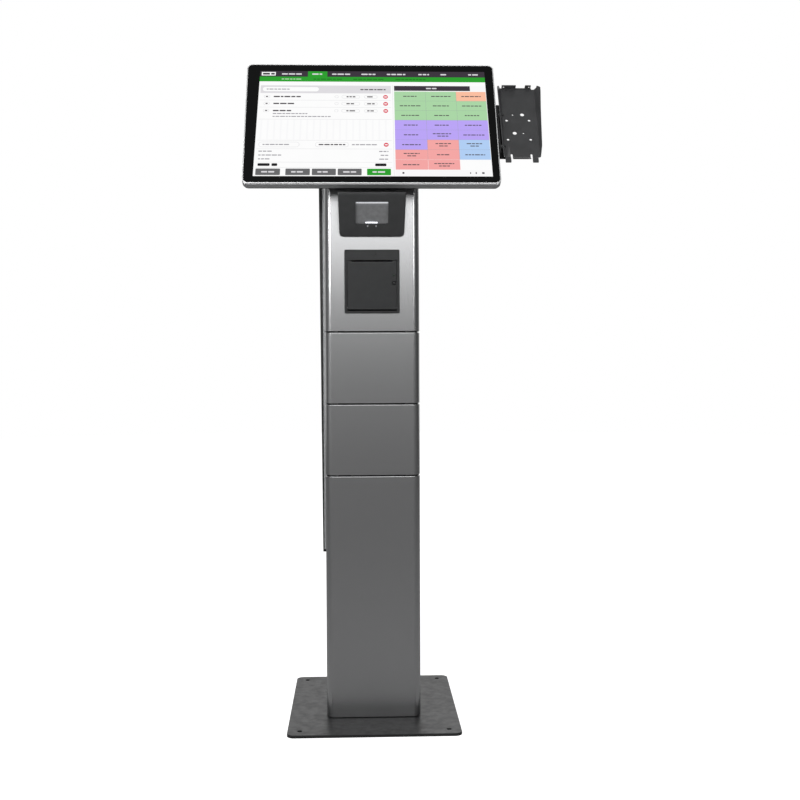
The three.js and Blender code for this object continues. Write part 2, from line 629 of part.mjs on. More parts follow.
function addDisplay() {
  const D = DISPLAY;
  const rim = 2.3;
  const outer = prism(roundedRect(D.width, D.height, D.corner), 'z', REAR, -0.4, 6);
  const recess = prism(
    roundedRect(D.width - 2 * rim, D.height - 2 * rim, D.corner - rim), 'z', -3.4, 1, 6);
  const through = block([-D.width / 2 + 10, D.width / 2 - 10], [-142, 142], [REAR - 1, 1]);
  addToHead('display_frame', cut(outer, recess, through), 'alloy');

  const paneWide = D.width - 2 * rim - 2 * GAP;
  const paneHigh = D.height - 2 * rim - 2 * GAP;
  addToHead('display_glass', prism(
    roundedRect(paneWide, paneHigh, D.corner - rim - GAP), 'z', -3, 0, 6), 'glass');
  addToHead('lcd_panel', block([-243, 243], [-138, 138], [-12, -3.4]), 'screen');

  const rimShape = roundedRect(D.width - 4, D.height - 4, D.corner - 2);
  const rearRim = prism(rimShape, 'z', REAR - 3.3, REAR - GAP, 5);
  const bulge = frustum([230, 132], [180, 100], REAR - 3, DEEP);
  const hollow = frustum([226, 128], [177, 97], REAR, DEEP + 2.5);
  const mouth = block([-226, 226], [-128, 128], [REAR - 3.2, REAR + 1]);
  const cableHole = rod('z', 9, [0, -70, DEEP], 20, 16);
  let cover = cut(join(rearRim, bulge), hollow, mouth, cableHole);
  for (let row = 0; row < 5; row += 1) {
    const slotY = 66 + row * 6;
    cover = cut(cover, block([-60, 60], [slotY, slotY + 3], [DEEP - 5, DEEP + 5]));
  }
  addToHead('display_rear_cover', cover, 'plastic');

  const board = join(
    block([-110, 90], [-60, 60], [-24.6, -23]),
    block([-30, 10], [-22, 18], [-33, -24]),
    block([40, 75], [-50, -14], [-30, -24]),
    block([-100, -84], [-50, 50], [-29, -24]),
  );
  addToHead('mainboard', board, 'board');
  for (const [name, x] of [['left', -170], ['right', 126]]) {
    const speaker = block([x, x + 44], [-90, -72], [-28, -20]);
    addToHead(`speaker_${name}`, speaker, 'plastic');
  }
}

// A four-sided solid with sloping sides between two levels, from half widths at each.
function frustum([wideX, wideY], [topX, topY], z0, z1) {
  const levels = [[wideX, wideY, z0], [topX, topY, z1]];
  const points = levels.flatMap(([x, y, z]) => [[-x, -y, z], [x, -y, z], [x, y, z], [-x, y, z]]);
  const faces = [
    0, 1, 2, 0, 2, 3, 4, 6, 5, 4, 7, 6, 0, 5, 1, 0, 4, 5,
    1, 6, 2, 1, 5, 6, 2, 7, 3, 2, 6, 7, 3, 4, 0, 3, 7, 4,
  ];
  return new wasm.Manifold(new wasm.Mesh({
    numProp: 3, vertProperties: new Float32Array(points.flat()), triVerts: new Uint32Array(faces),
  }));
}

// ---------------------------------------------------------------- tilt joint

const pivotY = DISPLAY.centreY + Math.cos(leanRad) * DISPLAY.pivotBehind;
const pivotZ = DISPLAY.centreZ - Math.sin(leanRad) * DISPLAY.pivotBehind;
const TILT = { plate: 3, ear: 4, earRound: 13, pinRadius: 5, pinHole: 5.3, screwHole: 2.4 };

function addTilt() {
  const plateBack = DEEP - GAP - TILT.plate;
  const axisDepth = -DISPLAY.pivotBehind;
  let yoke = block([-60, 60], [-60, 60], [plateBack, DEEP - GAP]);
  for (const side of [-1, 1]) {
    const ear = [side * 40, side * 44].sort((a, b) => a - b);
    yoke = join(
      yoke,
      block(ear, [-TILT.earRound, TILT.earRound], [axisDepth, plateBack + 1]),
      rod('x', TILT.earRound, [side * 42, 0, axisDepth], TILT.ear, 24),
    );
    for (const other of [-1, 1]) {
      yoke = cut(yoke, rod('z', TILT.screwHole, [side * 50, other * 50, plateBack], 12, 12));
    }
  }
  const cableWindow = block([-30, 30], [-56, -24], [plateBack - 2, DEEP + 2]);
  yoke = cut(yoke, rod('x', TILT.pinHole, [0, 0, axisDepth], 120, 18), cableWindow);
  addToHead('tilt_yoke', yoke, 'charcoal');

  const footThick = 4;
  const footTop = COLUMN.top + GAP * 2 + CAP.thick + footThick;
  const round = TILT.earRound - 0.5;
  let bracket = block([-60, 60], [-85, -30], [footTop - footThick, footTop]);
  for (const side of [-1, 1]) {
    const ear = [side * 35, side * 39].sort((a, b) => a - b);
    bracket = join(
      bracket,
      block(ear, [pivotY - round, pivotY + round], [footTop - 1, pivotZ]),
      rod('x', round, [side * 37, pivotY, pivotZ], TILT.ear, 24),
    );
  }
  bracket = cut(bracket, rod('x', TILT.pinHole, [0, pivotY, pivotZ], 120, 18));
  add('tilt_bracket', bracket, 'charcoal');

  for (const [name, side] of [['left', -1], ['right', 1]]) {
    const pin = join(
      rod('x', TILT.pinRadius, [side * 39.5, pivotY, pivotZ], 13, 18),
      rod('x', 9, [side * (44 + GAP + 1.6), pivotY, pivotZ], 3.2, 6),
      rod('x', 8, [side * (35 - GAP - 1), pivotY, pivotZ], 2, 18),
    );
    add(`tilt_pin_${name}`, pin, 'steel');
  }
}

// ---------------------------------------------------------------- card terminal cradle

function addCradle() {
  const { left, right, bottom, top, face, thick, wallHeight, flareLeft, flareRight } = TRAY;
  const back = face - thick;
  const section = bentSheet([
    [left - flareLeft - 1.5, face + wallHeight], [left - 1.8, back + 1], [left, back],
    [right, back], [right + 1.5, back + 0.8], [right + flareRight, face + wallHeight],
  ], thick);
  // The section is drawn in x and z (outward) and runs up the tray along y.
  const sheet = prism(section, 'y', -top, -bottom).mirror([0, 1, 0]);
  const sideTrim = prism(polygon([
    [bottom - 5, face + 0.5], [bottom, face + 0.5], [bottom + 14, face + wallHeight * 0.4],
    [top - 9, face + wallHeight + 0.5], [top, face + wallHeight * 0.7],
    [top + 5, face + wallHeight * 0.7], [top + 5, face + 40], [bottom - 5, face + 40],
  ]), 'x', left - 20, right + 40);
  const topNotch = block([right - 6, right + 4.5], [top - 3, top + 5], [back - 5, face + 9]);
  let tray = cut(sheet, sideTrim, topNotch);

  // The upper edge is turned forward as two lips with a low stretch between them.
  const lips = [[270, 299.5, 10], [299.3, 318.5, 1.2], [318.3, 330.5, 10]];
  for (const [x0, x1, reach] of lips) {
    tray = join(tray, block([x0, x1], [top - thick, top], [back + 1, face + reach]));
  }
  // Below, two flat feet stand either side of a lip that curls forward.
  const lipWide = 36;
  const middle = (left + right) / 2 - 1.5;
  const [footWide, footLong] = [10.5, 13];
  for (const x of [268.5, 323.5]) {
    tray = join(tray, block([x, x + footWide], [bottom - footLong, bottom + 1], [back, face]));
  }
  for (const x of [middle - lipWide / 2 - 4, middle + lipWide / 2]) {
    tray = cut(tray, block([x, x + 4], [bottom - 1, bottom + 8], [back - 1, face + 1]));
  }
  const curl = new THREE.Shape();
  const curlRadius = 9;
  curl.moveTo(bottom + 1, face);
  curl.absarc(bottom + 1, face + curlRadius, curlRadius, -Math.PI / 2, -Math.PI * 0.86, true);
  curl.absarc(bottom + 1, face + curlRadius, curlRadius + thick, -Math.PI * 0.86, -Math.PI / 2);
  tray = join(tray, prism(curl, 'x', middle - lipWide / 2, middle + lipWide / 2, 5));

  // Four mounting holes in a rectangle, then two pairs of a large and a small hole.
  const holes = [
    [276.3, 9, 2.7], [322.3, 9, 2.7], [276.3, -40, 2.7], [322.3, -40, 2.7],
    [309, 24, 4.2], [289.3, 23.5, 1.8], [290.8, -23.5, 4.2], [308.6, -24, 1.8],
  ];
  for (const [x, y, radius] of holes) {
    tray = cut(tray, rod('z', radius, [x, y, face], 12, 14));
  }
  for (const x of [275, 326.5]) {
    tray = cut(tray, rod('y', 1.5, [x, top, face + 4.5], 12, 10));
  }

  // The arm runs behind the display and turns forward beside the tray's left wall. A backing
  // strip carries on behind the tray and closes the gap beside that wall.
  const armBack = -24.3;
  const armThick = 2.5;
  const armSection = bentSheet([[229, armBack], [260, armBack], [260, -1.5]], armThick);
  const backing = block([257.5, 276], [-72, 64], [armBack, armBack + armThick]);
  let arm = join(prism(armSection, 'y', -47, 74).mirror([0, 1, 0]), backing);
  const screwHeights = { upper: 22, lower: -58 };
  const screwDepth = -4.2;
  const screwRadius = 2;
  const screwHole = screwRadius + GAP;
  for (const [name, y] of Object.entries(screwHeights)) {
    arm = cut(arm, rod('x', screwHole, [258, y, screwDepth], 20, 12));
    tray = cut(tray, rod('x', screwHole, [264, y, screwDepth], 14, 12));
    const spacer = rod('x', 3.4, [262, y, screwDepth], 3.2, 12);
    const screw = rod('x', screwRadius, [262.4, y, screwDepth], 10, 12);
    addToHead(`cradle_screw_${name}`, join(screw, spacer), 'charcoal');
  }
  addToHead('cradle_tray', tray, 'charcoal');
  addToHead('cradle_arm', arm, 'charcoal');
}

// ---------------------------------------------------------------- assembly

addBase();
addChassis();
addShelf('chassis_shelf_lower', 335);
addShelf('chassis_shelf_upper', 830);
addPanels();
addRearCover();
addDoor();
addPowerParts();
addScanner();
addPrinter();
addDisplay();
addTilt();
addCradle();

export default kiosk;
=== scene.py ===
"""The looks of a floor-standing payment kiosk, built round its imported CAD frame.

Shapes are worked out in millimetres and turned into metres when a mesh is made. The front faces -Y.
Pieces on the tilting head are drawn on its own axes: u across, v up the glass, w out of the glass.
"""

import json
import math
import random

import bmesh
import bpy
from mathutils import Matrix, Vector
from mathutils.geometry import tessellate_polygon


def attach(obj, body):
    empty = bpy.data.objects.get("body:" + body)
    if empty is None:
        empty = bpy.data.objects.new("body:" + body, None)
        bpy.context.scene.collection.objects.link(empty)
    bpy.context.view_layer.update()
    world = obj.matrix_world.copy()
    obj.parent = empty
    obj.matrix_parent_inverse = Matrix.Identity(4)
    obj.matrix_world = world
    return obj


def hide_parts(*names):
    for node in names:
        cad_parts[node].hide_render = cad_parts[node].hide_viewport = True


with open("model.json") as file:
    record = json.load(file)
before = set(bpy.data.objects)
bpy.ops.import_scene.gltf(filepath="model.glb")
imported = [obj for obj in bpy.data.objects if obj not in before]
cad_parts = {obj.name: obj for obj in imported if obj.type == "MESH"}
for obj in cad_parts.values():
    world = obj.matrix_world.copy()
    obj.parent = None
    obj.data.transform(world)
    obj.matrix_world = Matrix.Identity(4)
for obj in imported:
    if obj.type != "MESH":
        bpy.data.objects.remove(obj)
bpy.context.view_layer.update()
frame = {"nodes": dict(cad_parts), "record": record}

MM = 0.001
RIGHT = Vector((1, 0, 0))

# ---------------------------------------------------------------- places taken from the frame


def extent(node, place=Matrix()):
    """Lowest and highest corner of a CAD node in millimetres, along the axes of a place."""
    back = place.inverted()
    points = [back @ (v.co / MM) for v in frame["nodes"][node].data.vertices]
    return Vector(map(min, zip(*points))), Vector(map(max, zip(*points)))


def centre_of(node, place=Matrix()):
    """The middle of a CAD node's extent."""
    return sum(extent(node, place), Vector()) / 2


def axes(across, up, out, origin=(0, 0, 0)):
    """The matrix that carries a shape drawn flat, with its thickness along z, to its place."""
    place = Matrix((across, up, out)).transposed().to_4x4()
    place.translation = Vector(origin)
    return place


MOUNTS = {mount["name"]: mount for mount in frame["record"]["mounts"]}
GLASS_THICK = 3.0
OUT = Vector(MOUNTS["cradle_face"]["axis"]).normalized()
UP = OUT.cross(RIGHT)
GLASS_MIDDLE = centre_of("display_glass") + OUT * GLASS_THICK / 2
HEAD = axes(RIGHT, UP, OUT, GLASS_MIDDLE)

FRONTWARD = axes((1, 0, 0), (0, 0, 1), (0, -1, 0))    # drawn in x, z; levels are -y
SIDEWAYS = axes((0, 1, 0), (0, 0, 1), (1, 0, 0))      # drawn in y, z; levels are x
HEAD_SIDEWAYS = HEAD @ SIDEWAYS                       # drawn in v, w; levels are u
HEAD_UPWARD = HEAD @ axes((1, 0, 0), (0, 0, 1), (0, -1, 0))   # drawn in u, w; levels are -v

SHEET = 2.0
PANEL_LOW, PANEL_HIGH = extent("panel_upper")
COLUMN_FRONT = PANEL_LOW.y

SCANNER_LOW, SCANNER_HIGH = extent("scanner_housing")
SCANNER_FOOT = 7.0            # how far the wedge's lower edge stands off the column
SCANNER_BROW = 5.0            # the upright band along its upper edge
SCANNER_WALL = 2.5
FACE_LEAN = math.atan2(
    COLUMN_FRONT - SCANNER_LOW.y - SCANNER_FOOT,
    SCANNER_HIGH.z - SCANNER_BROW - SCANNER_LOW.z,
)
FACE = axes(
    RIGHT,
    (0, -math.sin(FACE_LEAN), math.cos(FACE_LEAN)),
    (0, -math.cos(FACE_LEAN), -math.sin(FACE_LEAN)),
    (0, COLUMN_FRONT - SCANNER_FOOT, SCANNER_LOW.z),
)

# ---------------------------------------------------------------- flat outlines


def arc(centre, radii, start, end, steps):
    """Points on an elliptical arc, with the angles in degrees."""
    turns = [math.radians(start + (end - start) * i / steps) for i in range(steps + 1)]
    return [(centre[0] + radii[0] * math.cos(t), centre[1] + radii[1] * math.sin(t)) for t in turns]


def circle(radius, centre=(0, 0), steps=32):
    return arc(centre, (radius, radius), 0, 360, steps)[:-1]


def distinct(loop):
    """The loop without points that repeat the one before them."""
    return [p for p, before in zip(loop, [loop[-1], *loop]) if math.dist(p, before) > 1e-6]


def rounded_rect(low, high, radius, steps=6):
    """A rectangle between two corners, anticlockwise, with rounded corners."""
    radii = (radius, radius)
    left, right = low[0] + radius, high[0] - radius
    bottom, top = low[1] + radius, high[1] - radius
    return distinct([
        *arc((right, bottom), radii, -90, 0, steps),
        *arc((right, top), radii, 0, 90, steps),
        *arc((left, top), radii, 90, 180, steps),
        *arc((left, bottom), radii, 180, 270, steps),
    ])


def centred_rect(width, height, radius, centre=(0, 0), steps=6):
    a, b = centre
    low = (a - width / 2, b - height / 2)
    return rounded_rect(low, (a + width / 2, b + height / 2), radius, steps)


def hole(loop):
    """The loop turned round, so that the material lies on its left."""
    return loop[::-1]


def inset(loop, distance, closed=True):
    """The loop moved to its left, which is inwards on an anticlockwise outline."""
    points = [Vector(p) for p in loop]
    count = len(points)
    lefts = []
    for i in range(count if closed else count - 1):
        along = (points[(i + 1) % count] - points[i]).normalized()
        lefts.append(Vector((-along.y, along.x)))
    moved = []
    for i, point in enumerate(points):
        before = lefts[i - 1] if closed or i else lefts[0]
        after = lefts[i] if closed or i < count - 1 else lefts[-1]
        mitre = (before + after).normalized()
        moved.append(tuple(point + mitre * distance / mitre.dot(before)))
    return moved


def filleted(corners, radius, steps=5):
    """An open line of points with each inner corner replaced by an arc."""
    points = [Vector(p) for p in corners]
    line = [tuple(points[0])]
    for before, corner, after in zip(points, points[1:], points[2:]):
        back, ahead = (before - corner).normalized(), (after - corner).normalized()
        half = back.angle(ahead) / 2
        if math.pi / 2 - half < 1e-3:
            line.append(tuple(corner))
            continue
        reach = radius / math.tan(half)
        middle = corner + (back + ahead).normalized() * radius / math.sin(half)
        start, end = corner + back * reach - middle, corner + ahead * reach - middle
        turn = start.angle_signed(end)
        for i in range(steps + 1):
            line.append(tuple(middle + Matrix.Rotation(-turn * i / steps, 2) @ start))
    return [*line, tuple(points[-1])]


# ---------------------------------------------------------------- closed shapes


class Shape:
    """A closed surface in millimetres, built ring by ring. Each face has a finish number."""

    def __init__(self):
        self.verts, self.faces, self.finishes = [], [], []

    def ring(self, points):
        first = len(self.verts)
        self.verts += [Vector(p) for p in points]
        return list(range(first, len(self.verts)))

    def flat(self, loop, level):
        """A ring made from a flat loop, at a level."""
        return self.ring((a, b, level) for a, b in loop)

    def face(self, corners, finish=0):
        self.faces.append(tuple(corners))
        self.finishes.append(finish)

    def bridge(self, one, other, closed=True, finish=0):
        count = len(one)
        for i in range(count if closed else count - 1):
            j = (i + 1) % count
            self.face((one[i], one[j], other[j], other[i]), finish)

    def skin(self, rings):
        """Bridges each ring to the next one."""
        for one, other in zip(rings, rings[1:]):
            self.bridge(one, other)

    def closed(self, rings):
        """Bridges the rings in turn and fills the first and the last."""
        self.skin(rings)
        self.cap([rings[0]])
        self.cap([rings[-1]])
        return self

    def cap(self, rings, finish=0):
        """Fills the first ring, leaving the others as holes."""
        if len(rings) == 1:
            self.face(rings[0], finish)
            return
        corners = [i for ring in rings for i in ring]
        for triangle in tessellate_polygon([[self.verts[i] for i in ring] for ring in rings]):
            self.face([corners[i] for i in triangle], finish)

    def add(self, *others):
        for other in others:
            first = len(self.verts)
            self.verts += other.verts
            self.faces += [tuple(first + i for i in face) for face in other.faces]
            self.finishes += other.finishes
        return self

    def placed(self, place):
        moved = Shape().add(self)
        moved.verts = [place @ v for v in self.verts]
        return moved

    def finished(self, number):
        self.finishes = [number] * len(self.faces)
        return self


def rim(low, high, edge, steps):
    """(inset, level) pairs up the side of a plate whose edges are rounded."""
    turns = [math.radians(90 * i / steps) for i in range(steps + 1)]
    lower = [(edge * (1 - math.sin(t)), low + edge * (1 - math.cos(t))) for t in turns]
    return lower + [(i, low + high - level) for i, level in reversed(lower)]


def plate(loops, low, high, edge=0.4, steps=3):
    """A flat plate between two levels, with rounded edges. The first loop is its outline."""
    shape = Shape()
    bottoms, tops = [], []
    for loop in loops:
        side = rim(low, high, edge, steps)
        rings = [shape.flat(inset(loop, distance), level) for distance, level in side]
        shape.skin(rings)
        bottoms.append(rings[0])
        tops.append(rings[-1])
    shape.cap(bottoms)
    shape.cap(tops)
    return shape


def block(low, high, edge=0.4, corner=None):
    """A box between two corners with all its edges rounded."""
    radius = edge if corner is None else corner
    return plate([rounded_rect(low[:2], high[:2], radius, 3)], low[2], high[2], edge)


def sweep(path, profile, closed_path=True, finishes=None):
    """A closed profile of (inset, level) pairs, carried along a path."""
    shape = Shape()
    rings = [shape.flat(inset(path, distance, closed_path), level) for distance, level in profile]
    for i, ring in enumerate(rings):
        finish = finishes[i] if finishes else 0
        shape.bridge(ring, rings[(i + 1) % len(rings)], closed_path, finish)
    if not closed_path:
        shape.face([ring[0] for ring in rings])
        shape.face([ring[-1] for ring in rings])
    return shape


def turned(profile, steps=32):
    """A profile of (radius, level) pairs turned round z, with its two ends capped."""
    shape = Shape()
    return shape.closed([shape.flat(circle(radius, steps=steps), level) for radius, level in profile])


def screw(radius, height, socket=0.5):
    """A domed screw head with a hexagon socket, standing on z = 0."""
    steps = 36
    sector = math.radians(60)
    reach = radius * socket

    def hexagon(level):
        points = []
        for i in range(steps):
            t = math.tau * i / steps
            r = reach * math.cos(sector / 2) / math.cos(t % sector - sector / 2)
            points.append((r * math.cos(t), r * math.sin(t), level))
        return points

    shape = Shape()
    dome = [(radius, 0), (radius, height * 0.35), (radius * 0.93, height * 0.7), (radius * 0.75, height)]
    rings = [shape.flat(circle(r, steps=steps), level) for r, level in dome]
    rings += [shape.ring(hexagon(height)), shape.ring(hexagon(height * 0.25))]
    return shape.closed(rings)


# ---------------------------------------------------------------- pieces

SMOOTH_ANGLE = math.radians(40)


def new_object(name, data):
    """An object in the scene, with this data."""
    made = bpy.data.objects.new(name, data)
    bpy.context.scene.collection.objects.link(made)
    return made


def solid(name, shape, place=Matrix()):
    """A mesh object in metres, closed and with its faces pointing out."""
    mesh = bpy.data.meshes.new(name)
    mesh.from_pydata([(place @ v) * MM for v in shape.verts], [], shape.faces)
    mesh.polygons.foreach_set("material_index", shape.finishes)
    work = bmesh.new()
    work.from_mesh(mesh)
    bmesh.ops.remove_doubles(work, verts=work.verts, dist=1e-7)
    bmesh.ops.recalc_face_normals(work, faces=work.faces)
    if work.calc_volume(signed=True) < 0:
        bmesh.ops.reverse_faces(work, faces=work.faces)
    work.to_mesh(mesh)
    work.free()
    return new_object(name, mesh)


def cutters(place, *shapes):
    """Solids to take away from a piece."""
    return [solid("cutter", shape, place) for shape in shapes]


def combine(target, operation, *tools):
    """Applies a boolean with each tool, then deletes the tools."""
    for tool in tools:
        step = target.modifiers.new("combine", "BOOLEAN")
        step.operation = operation
        step.solver = "EXACT"
        step.object = tool
    graph = bpy.context.evaluated_depsgraph_get()
    mesh = bpy.data.meshes.new_from_object(target.evaluated_get(graph))
    target.modifiers.clear()
    target.data = mesh
    for tool in tools:
        bpy.data.objects.remove(tool)


def soften(made, width, segments):
    """Rounds a piece's sharper edges, by a width in millimetres."""
    step = made.modifiers.new("soften", "BEVEL")
    step.width = width * MM
    step.segments = segments
    step.limit_method = "ANGLE"
    step.angle_limit = SMOOTH_ANGLE


def shade_level(made):
    """Keeps flat faces looking flat beside rounded edges."""
    step = made.modifiers.new("level", "WEIGHTED_NORMAL")
    step.keep_sharp = True


def finish(made, slots, body, stands_for=(), bevel=0.0, own=None):
    """Gives a piece its materials, its soft edges and its body."""
    for name in slots:
        made.data.materials.append(own[name] if own and name in own else FINISHES[name])
    if bevel:
        soften(made, bevel, 3)
    made.data.polygons.foreach_set("use_smooth", [True] * len(made.data.polygons))
    if not bevel:
        made.data.set_sharp_from_angle(angle=SMOOTH_ANGLE)
    shade_level(made)
    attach(made, body)
    if stands_for:
        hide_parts(*stands_for)
    return made


def piece(name, shape, slots, body, stands_for=(), place=Matrix(), bevel=0.0):
    return finish(solid(name, shape, place), slots, body, stands_for, bevel)


# ---------------------------------------------------------------- materials


def linear(red, green, blue):
    """A screen colour, 0 to 255, as linear light."""
    shares = [c / 255 for c in (red, green, blue)]
    return [c / 12.92 if c <= 0.04045 else ((c + 0.055) / 1.055) ** 2.4 for c in shares]


class Surface:
    """A Principled material and the few node chains that the finishes share."""

    def __init__(self, name, colour, roughness, metallic=0.0):
        self.material = bpy.data.materials.new(name)
        self.material.use_nodes = True
        self.nodes = self.material.node_tree.nodes
        self.links = self.material.node_tree.links
        self.shader = self.nodes["Principled BSDF"]
        self.colour = colour
        self.shader.inputs["Base Color"].default_value = (*colour, 1)
        self.shader.inputs["Roughness"].default_value = roughness
        self.shader.inputs["Metallic"].default_value = metallic
        self.where = self.nodes.new("ShaderNodeTexCoord").outputs["Object"]

    def stretched(self, stretch):
        mapping = self.nodes.new("ShaderNodeMapping")
        mapping.inputs["Scale"].default_value = stretch
        self.links.new(self.where, mapping.inputs["Vector"])
        return mapping.outputs["Vector"]

    def noise(self, grain_mm, detail=2.0, stretch=None):
        """Noise whose grains are about this many millimetres across."""
        node = self.nodes.new("ShaderNodeTexNoise")
        node.inputs["Scale"].default_value = 1 / (grain_mm * MM)
        node.inputs["Detail"].default_value = detail
        self.links.new(self.stretched(stretch) if stretch else self.where, node.inputs["Vector"])
        return node.outputs["Fac"]

    def cells(self, grain_mm, feature="F1", output="Color"):
        node = self.nodes.new("ShaderNodeTexVoronoi")
        node.feature = feature
        node.inputs["Scale"].default_value = 1 / (grain_mm * MM)
        self.links.new(self.where, node.inputs["Vector"])
        return node.outputs[output]

    def ranged(self, source, low, high, start=0.3, end=0.7):
        node = self.nodes.new("ShaderNodeMapRange")
        for key, value in (("From Min", start), ("From Max", end), ("To Min", low), ("To Max", high)):
            node.inputs[key].default_value = value
        self.links.new(source, node.inputs["Value"])
        return node.outputs["Result"]

    def tinted(self, source, darkest, lightest):
        """Base colour between two multiples of the surface's own colour."""
        node = self.nodes.new("ShaderNodeMix")
        node.data_type = "RGBA"
        node.inputs["A"].default_value = (*[c * darkest for c in self.colour], 1)
        node.inputs["B"].default_value = (*[c * lightest for c in self.colour], 1)
        self.links.new(self.ranged(source, 0, 1), node.inputs["Factor"])
        self.links.new(node.outputs["Result"], self.shader.inputs["Base Color"])
        return self

    def roughened(self, source, low, high):
        self.links.new(self.ranged(source, low, high), self.shader.inputs["Roughness"])
        return self

    def bumped(self, source, depth_mm, strength=1.0):
        node = self.nodes.new("ShaderNodeBump")
        node.inputs["Distance"].default_value = depth_mm * MM
        node.inputs["Strength"].default_value = strength
        self.links.new(source, node.inputs["Height"])
        before = self.shader.inputs["Normal"].links
        if before:
            self.links.new(before[0].from_socket, node.inputs["Normal"])
        self.links.new(node.outputs["Normal"], self.shader.inputs["Normal"])
        return self

    def setting(self, **values):
        for key, value in values.items():
            self.shader.inputs[key.replace("_", " ")].default_value = value
        return self


def silver_paint():
    """Smooth satin silver lacquer, with only a broad, faint drift in tone."""
    surface = Surface("satin silver", (0.44, 0.443, 0.448), 0.27, 0.95)
    surface.tinted(surface.noise(200, 0), 0.998, 1.002)
    return surface.material


def powder_coat(name, colour, roughness, grain_depth):
    """Powder coat: a fine grain, with its tone and gloss drifting from patch to patch."""
    surface = Surface(name, colour, roughness, 0.1)
    surface.tinted(surface.noise(26, 4), 0.88, 1.14)
    surface.roughened(surface.noise(14, 3), roughness - 0.06, roughness + 0.08)
    surface.bumped(surface.noise(1.5, 2), grain_depth)
    return surface.material


def black_paint():
    return powder_coat("black powder coat", (0.022, 0.0225, 0.023), 0.38, 0.03)


def charcoal_paint():
    return powder_coat("charcoal powder coat", (0.055, 0.056, 0.058), 0.34, 0.015)


def plastic(name, colour):
    """Moulded plastic with a spark-eroded texture."""
    surface = Surface(name, colour, 0.46)
    surface.tinted(surface.noise(18, 3), 0.92, 1.08)
    surface.roughened(surface.noise(7, 2), 0.42, 0.5)
    surface.bumped(surface.noise(0.9, 2), 0.008)
    surface.setting(Specular_IOR_Level=0.35)
    return surface.material


def black_plastic():
    return plastic("black moulded plastic", (0.02, 0.021, 0.022))


def cover_glass():
    """Black-printed glass with an anti-reflection coat and the faintest smears."""
    surface = Surface("black cover glass", (0.0015, 0.0016, 0.0018), 0.05)
    surface.roughened(surface.noise(60, 3), 0.035, 0.075)
    surface.tinted(surface.noise(90, 2), 0.8, 1.3)
    surface.setting(Specular_IOR_Level=0.16, Coat_Weight=0.1, Coat_Roughness=0.03)
    return surface.material


def smoked_window():
    surface = Surface("smoked window", (0.2, 0.203, 0.208), 0.2)
    surface.tinted(surface.noise(8, 2), 0.9, 1.1)
    surface.roughened(surface.noise(20, 2), 0.16, 0.26)
    return surface.material


def zinc_steel():
    """Galvanised sheet with its spangle."""
    surface = Surface("galvanised steel", (0.45, 0.46, 0.47), 0.38, 1.0)
    surface.tinted(surface.cells(6), 0.8, 1.1)
    surface.roughened(surface.cells(6), 0.3, 0.46)
    surface.bumped(surface.noise(1.5, 2), 0.01)
    return surface.material


def bright_steel():
    """Bright plated steel with fine drawn lines."""
    surface = Surface("bright steel", (0.5, 0.505, 0.51), 0.25, 1.0)
    surface.tinted(surface.noise(3, 3), 0.9, 1.08)
    surface.roughened(surface.noise(0.8, 3, (1, 1, 0.1)), 0.18, 0.32)
    surface.bumped(surface.noise(0.3, 2, (1, 1, 0.05)), 0.003)
    return surface.material


def dark_alloy():
    """Bead-blasted, dark anodised aluminium."""
    surface = Surface("dark anodised aluminium", (0.4, 0.403, 0.408), 0.36, 0.85)
    surface.tinted(surface.noise(1.4, 3), 0.96, 1.04)
    surface.roughened(surface.noise(5, 3), 0.3, 0.4)
    return surface.material


def polished_edge_with_painted_sheen():
    """The frame's machined front chamfer: bright metal, with a white diffuse part that paints in part of
    its sheen.
    """
    surface = Surface("machined chamfer with painted sheen", (0.9, 0.905, 0.91), 0.3, 0.5)
    surface.tinted(surface.noise(2, 2), 0.94, 1.04)
    surface.roughened(surface.noise(1, 3, (0.05, 1, 1)), 0.14, 0.26)
    return surface.material


def black_rubber():
    surface = Surface("black rubber", (0.013, 0.013, 0.014), 0.8)
    surface.tinted(surface.noise(5, 3), 0.8, 1.25)
    surface.roughened(surface.noise(3, 2), 0.7, 0.9)
    surface.bumped(surface.noise(0.5, 3), 0.02)
    return surface.material


def grey_foam():
    """Closed-cell foam: small bubbles cut through."""
    surface = Surface("light grey foam", (0.5, 0.51, 0.52), 0.95)
    surface.tinted(surface.cells(0.8), 0.85, 1.08)
    surface.bumped(surface.cells(0.8, "F1", "Distance"), 0.2)
    return surface.material


def receipt_paper():
    surface = Surface("receipt paper", (0.86, 0.855, 0.83), 0.85)
    surface.tinted(surface.noise(4, 3), 0.96, 1.02)
    surface.bumped(surface.noise(0.4, 4), 0.01)
    return surface.material


def circuit_board():
    """Solder mask over copper: straight-edged patches a shade apart."""
    surface = Surface("circuit board", (0.01, 0.1, 0.045), 0.35)
    node = surface.nodes.new("ShaderNodeTexVoronoi")
    node.distance = "MANHATTAN"
    node.inputs["Scale"].default_value = 1 / (6 * MM)
    surface.links.new(surface.where, node.inputs["Vector"])
    surface.tinted(node.outputs["Color"], 0.7, 1.35)
    surface.roughened(surface.noise(5, 2), 0.3, 0.42)
    return surface.material


def lamp(name, colour, strength):
    """A lit window, whose glow varies slightly across it."""
    surface = Surface(name, colour, 0.3)
    surface.tinted(surface.noise(1.5, 2), 0.95, 1.05)
    surface.setting(Emission_Color=(*colour, 1))
    glow = surface.ranged(surface.noise(2, 1), strength * 0.95, strength * 1.05)
    surface.links.new(glow, surface.shader.inputs["Emission Strength"])
    return surface.material


def unlit_lamp():
    """A clear green lens over a dark hole."""
    surface = Surface("unlit green lens", (0.006, 0.02, 0.009), 0.2)
    surface.tinted(surface.noise(1.5, 2), 0.9, 1.1)
    surface.roughened(surface.noise(2, 1), 0.16, 0.26)
    return surface.material


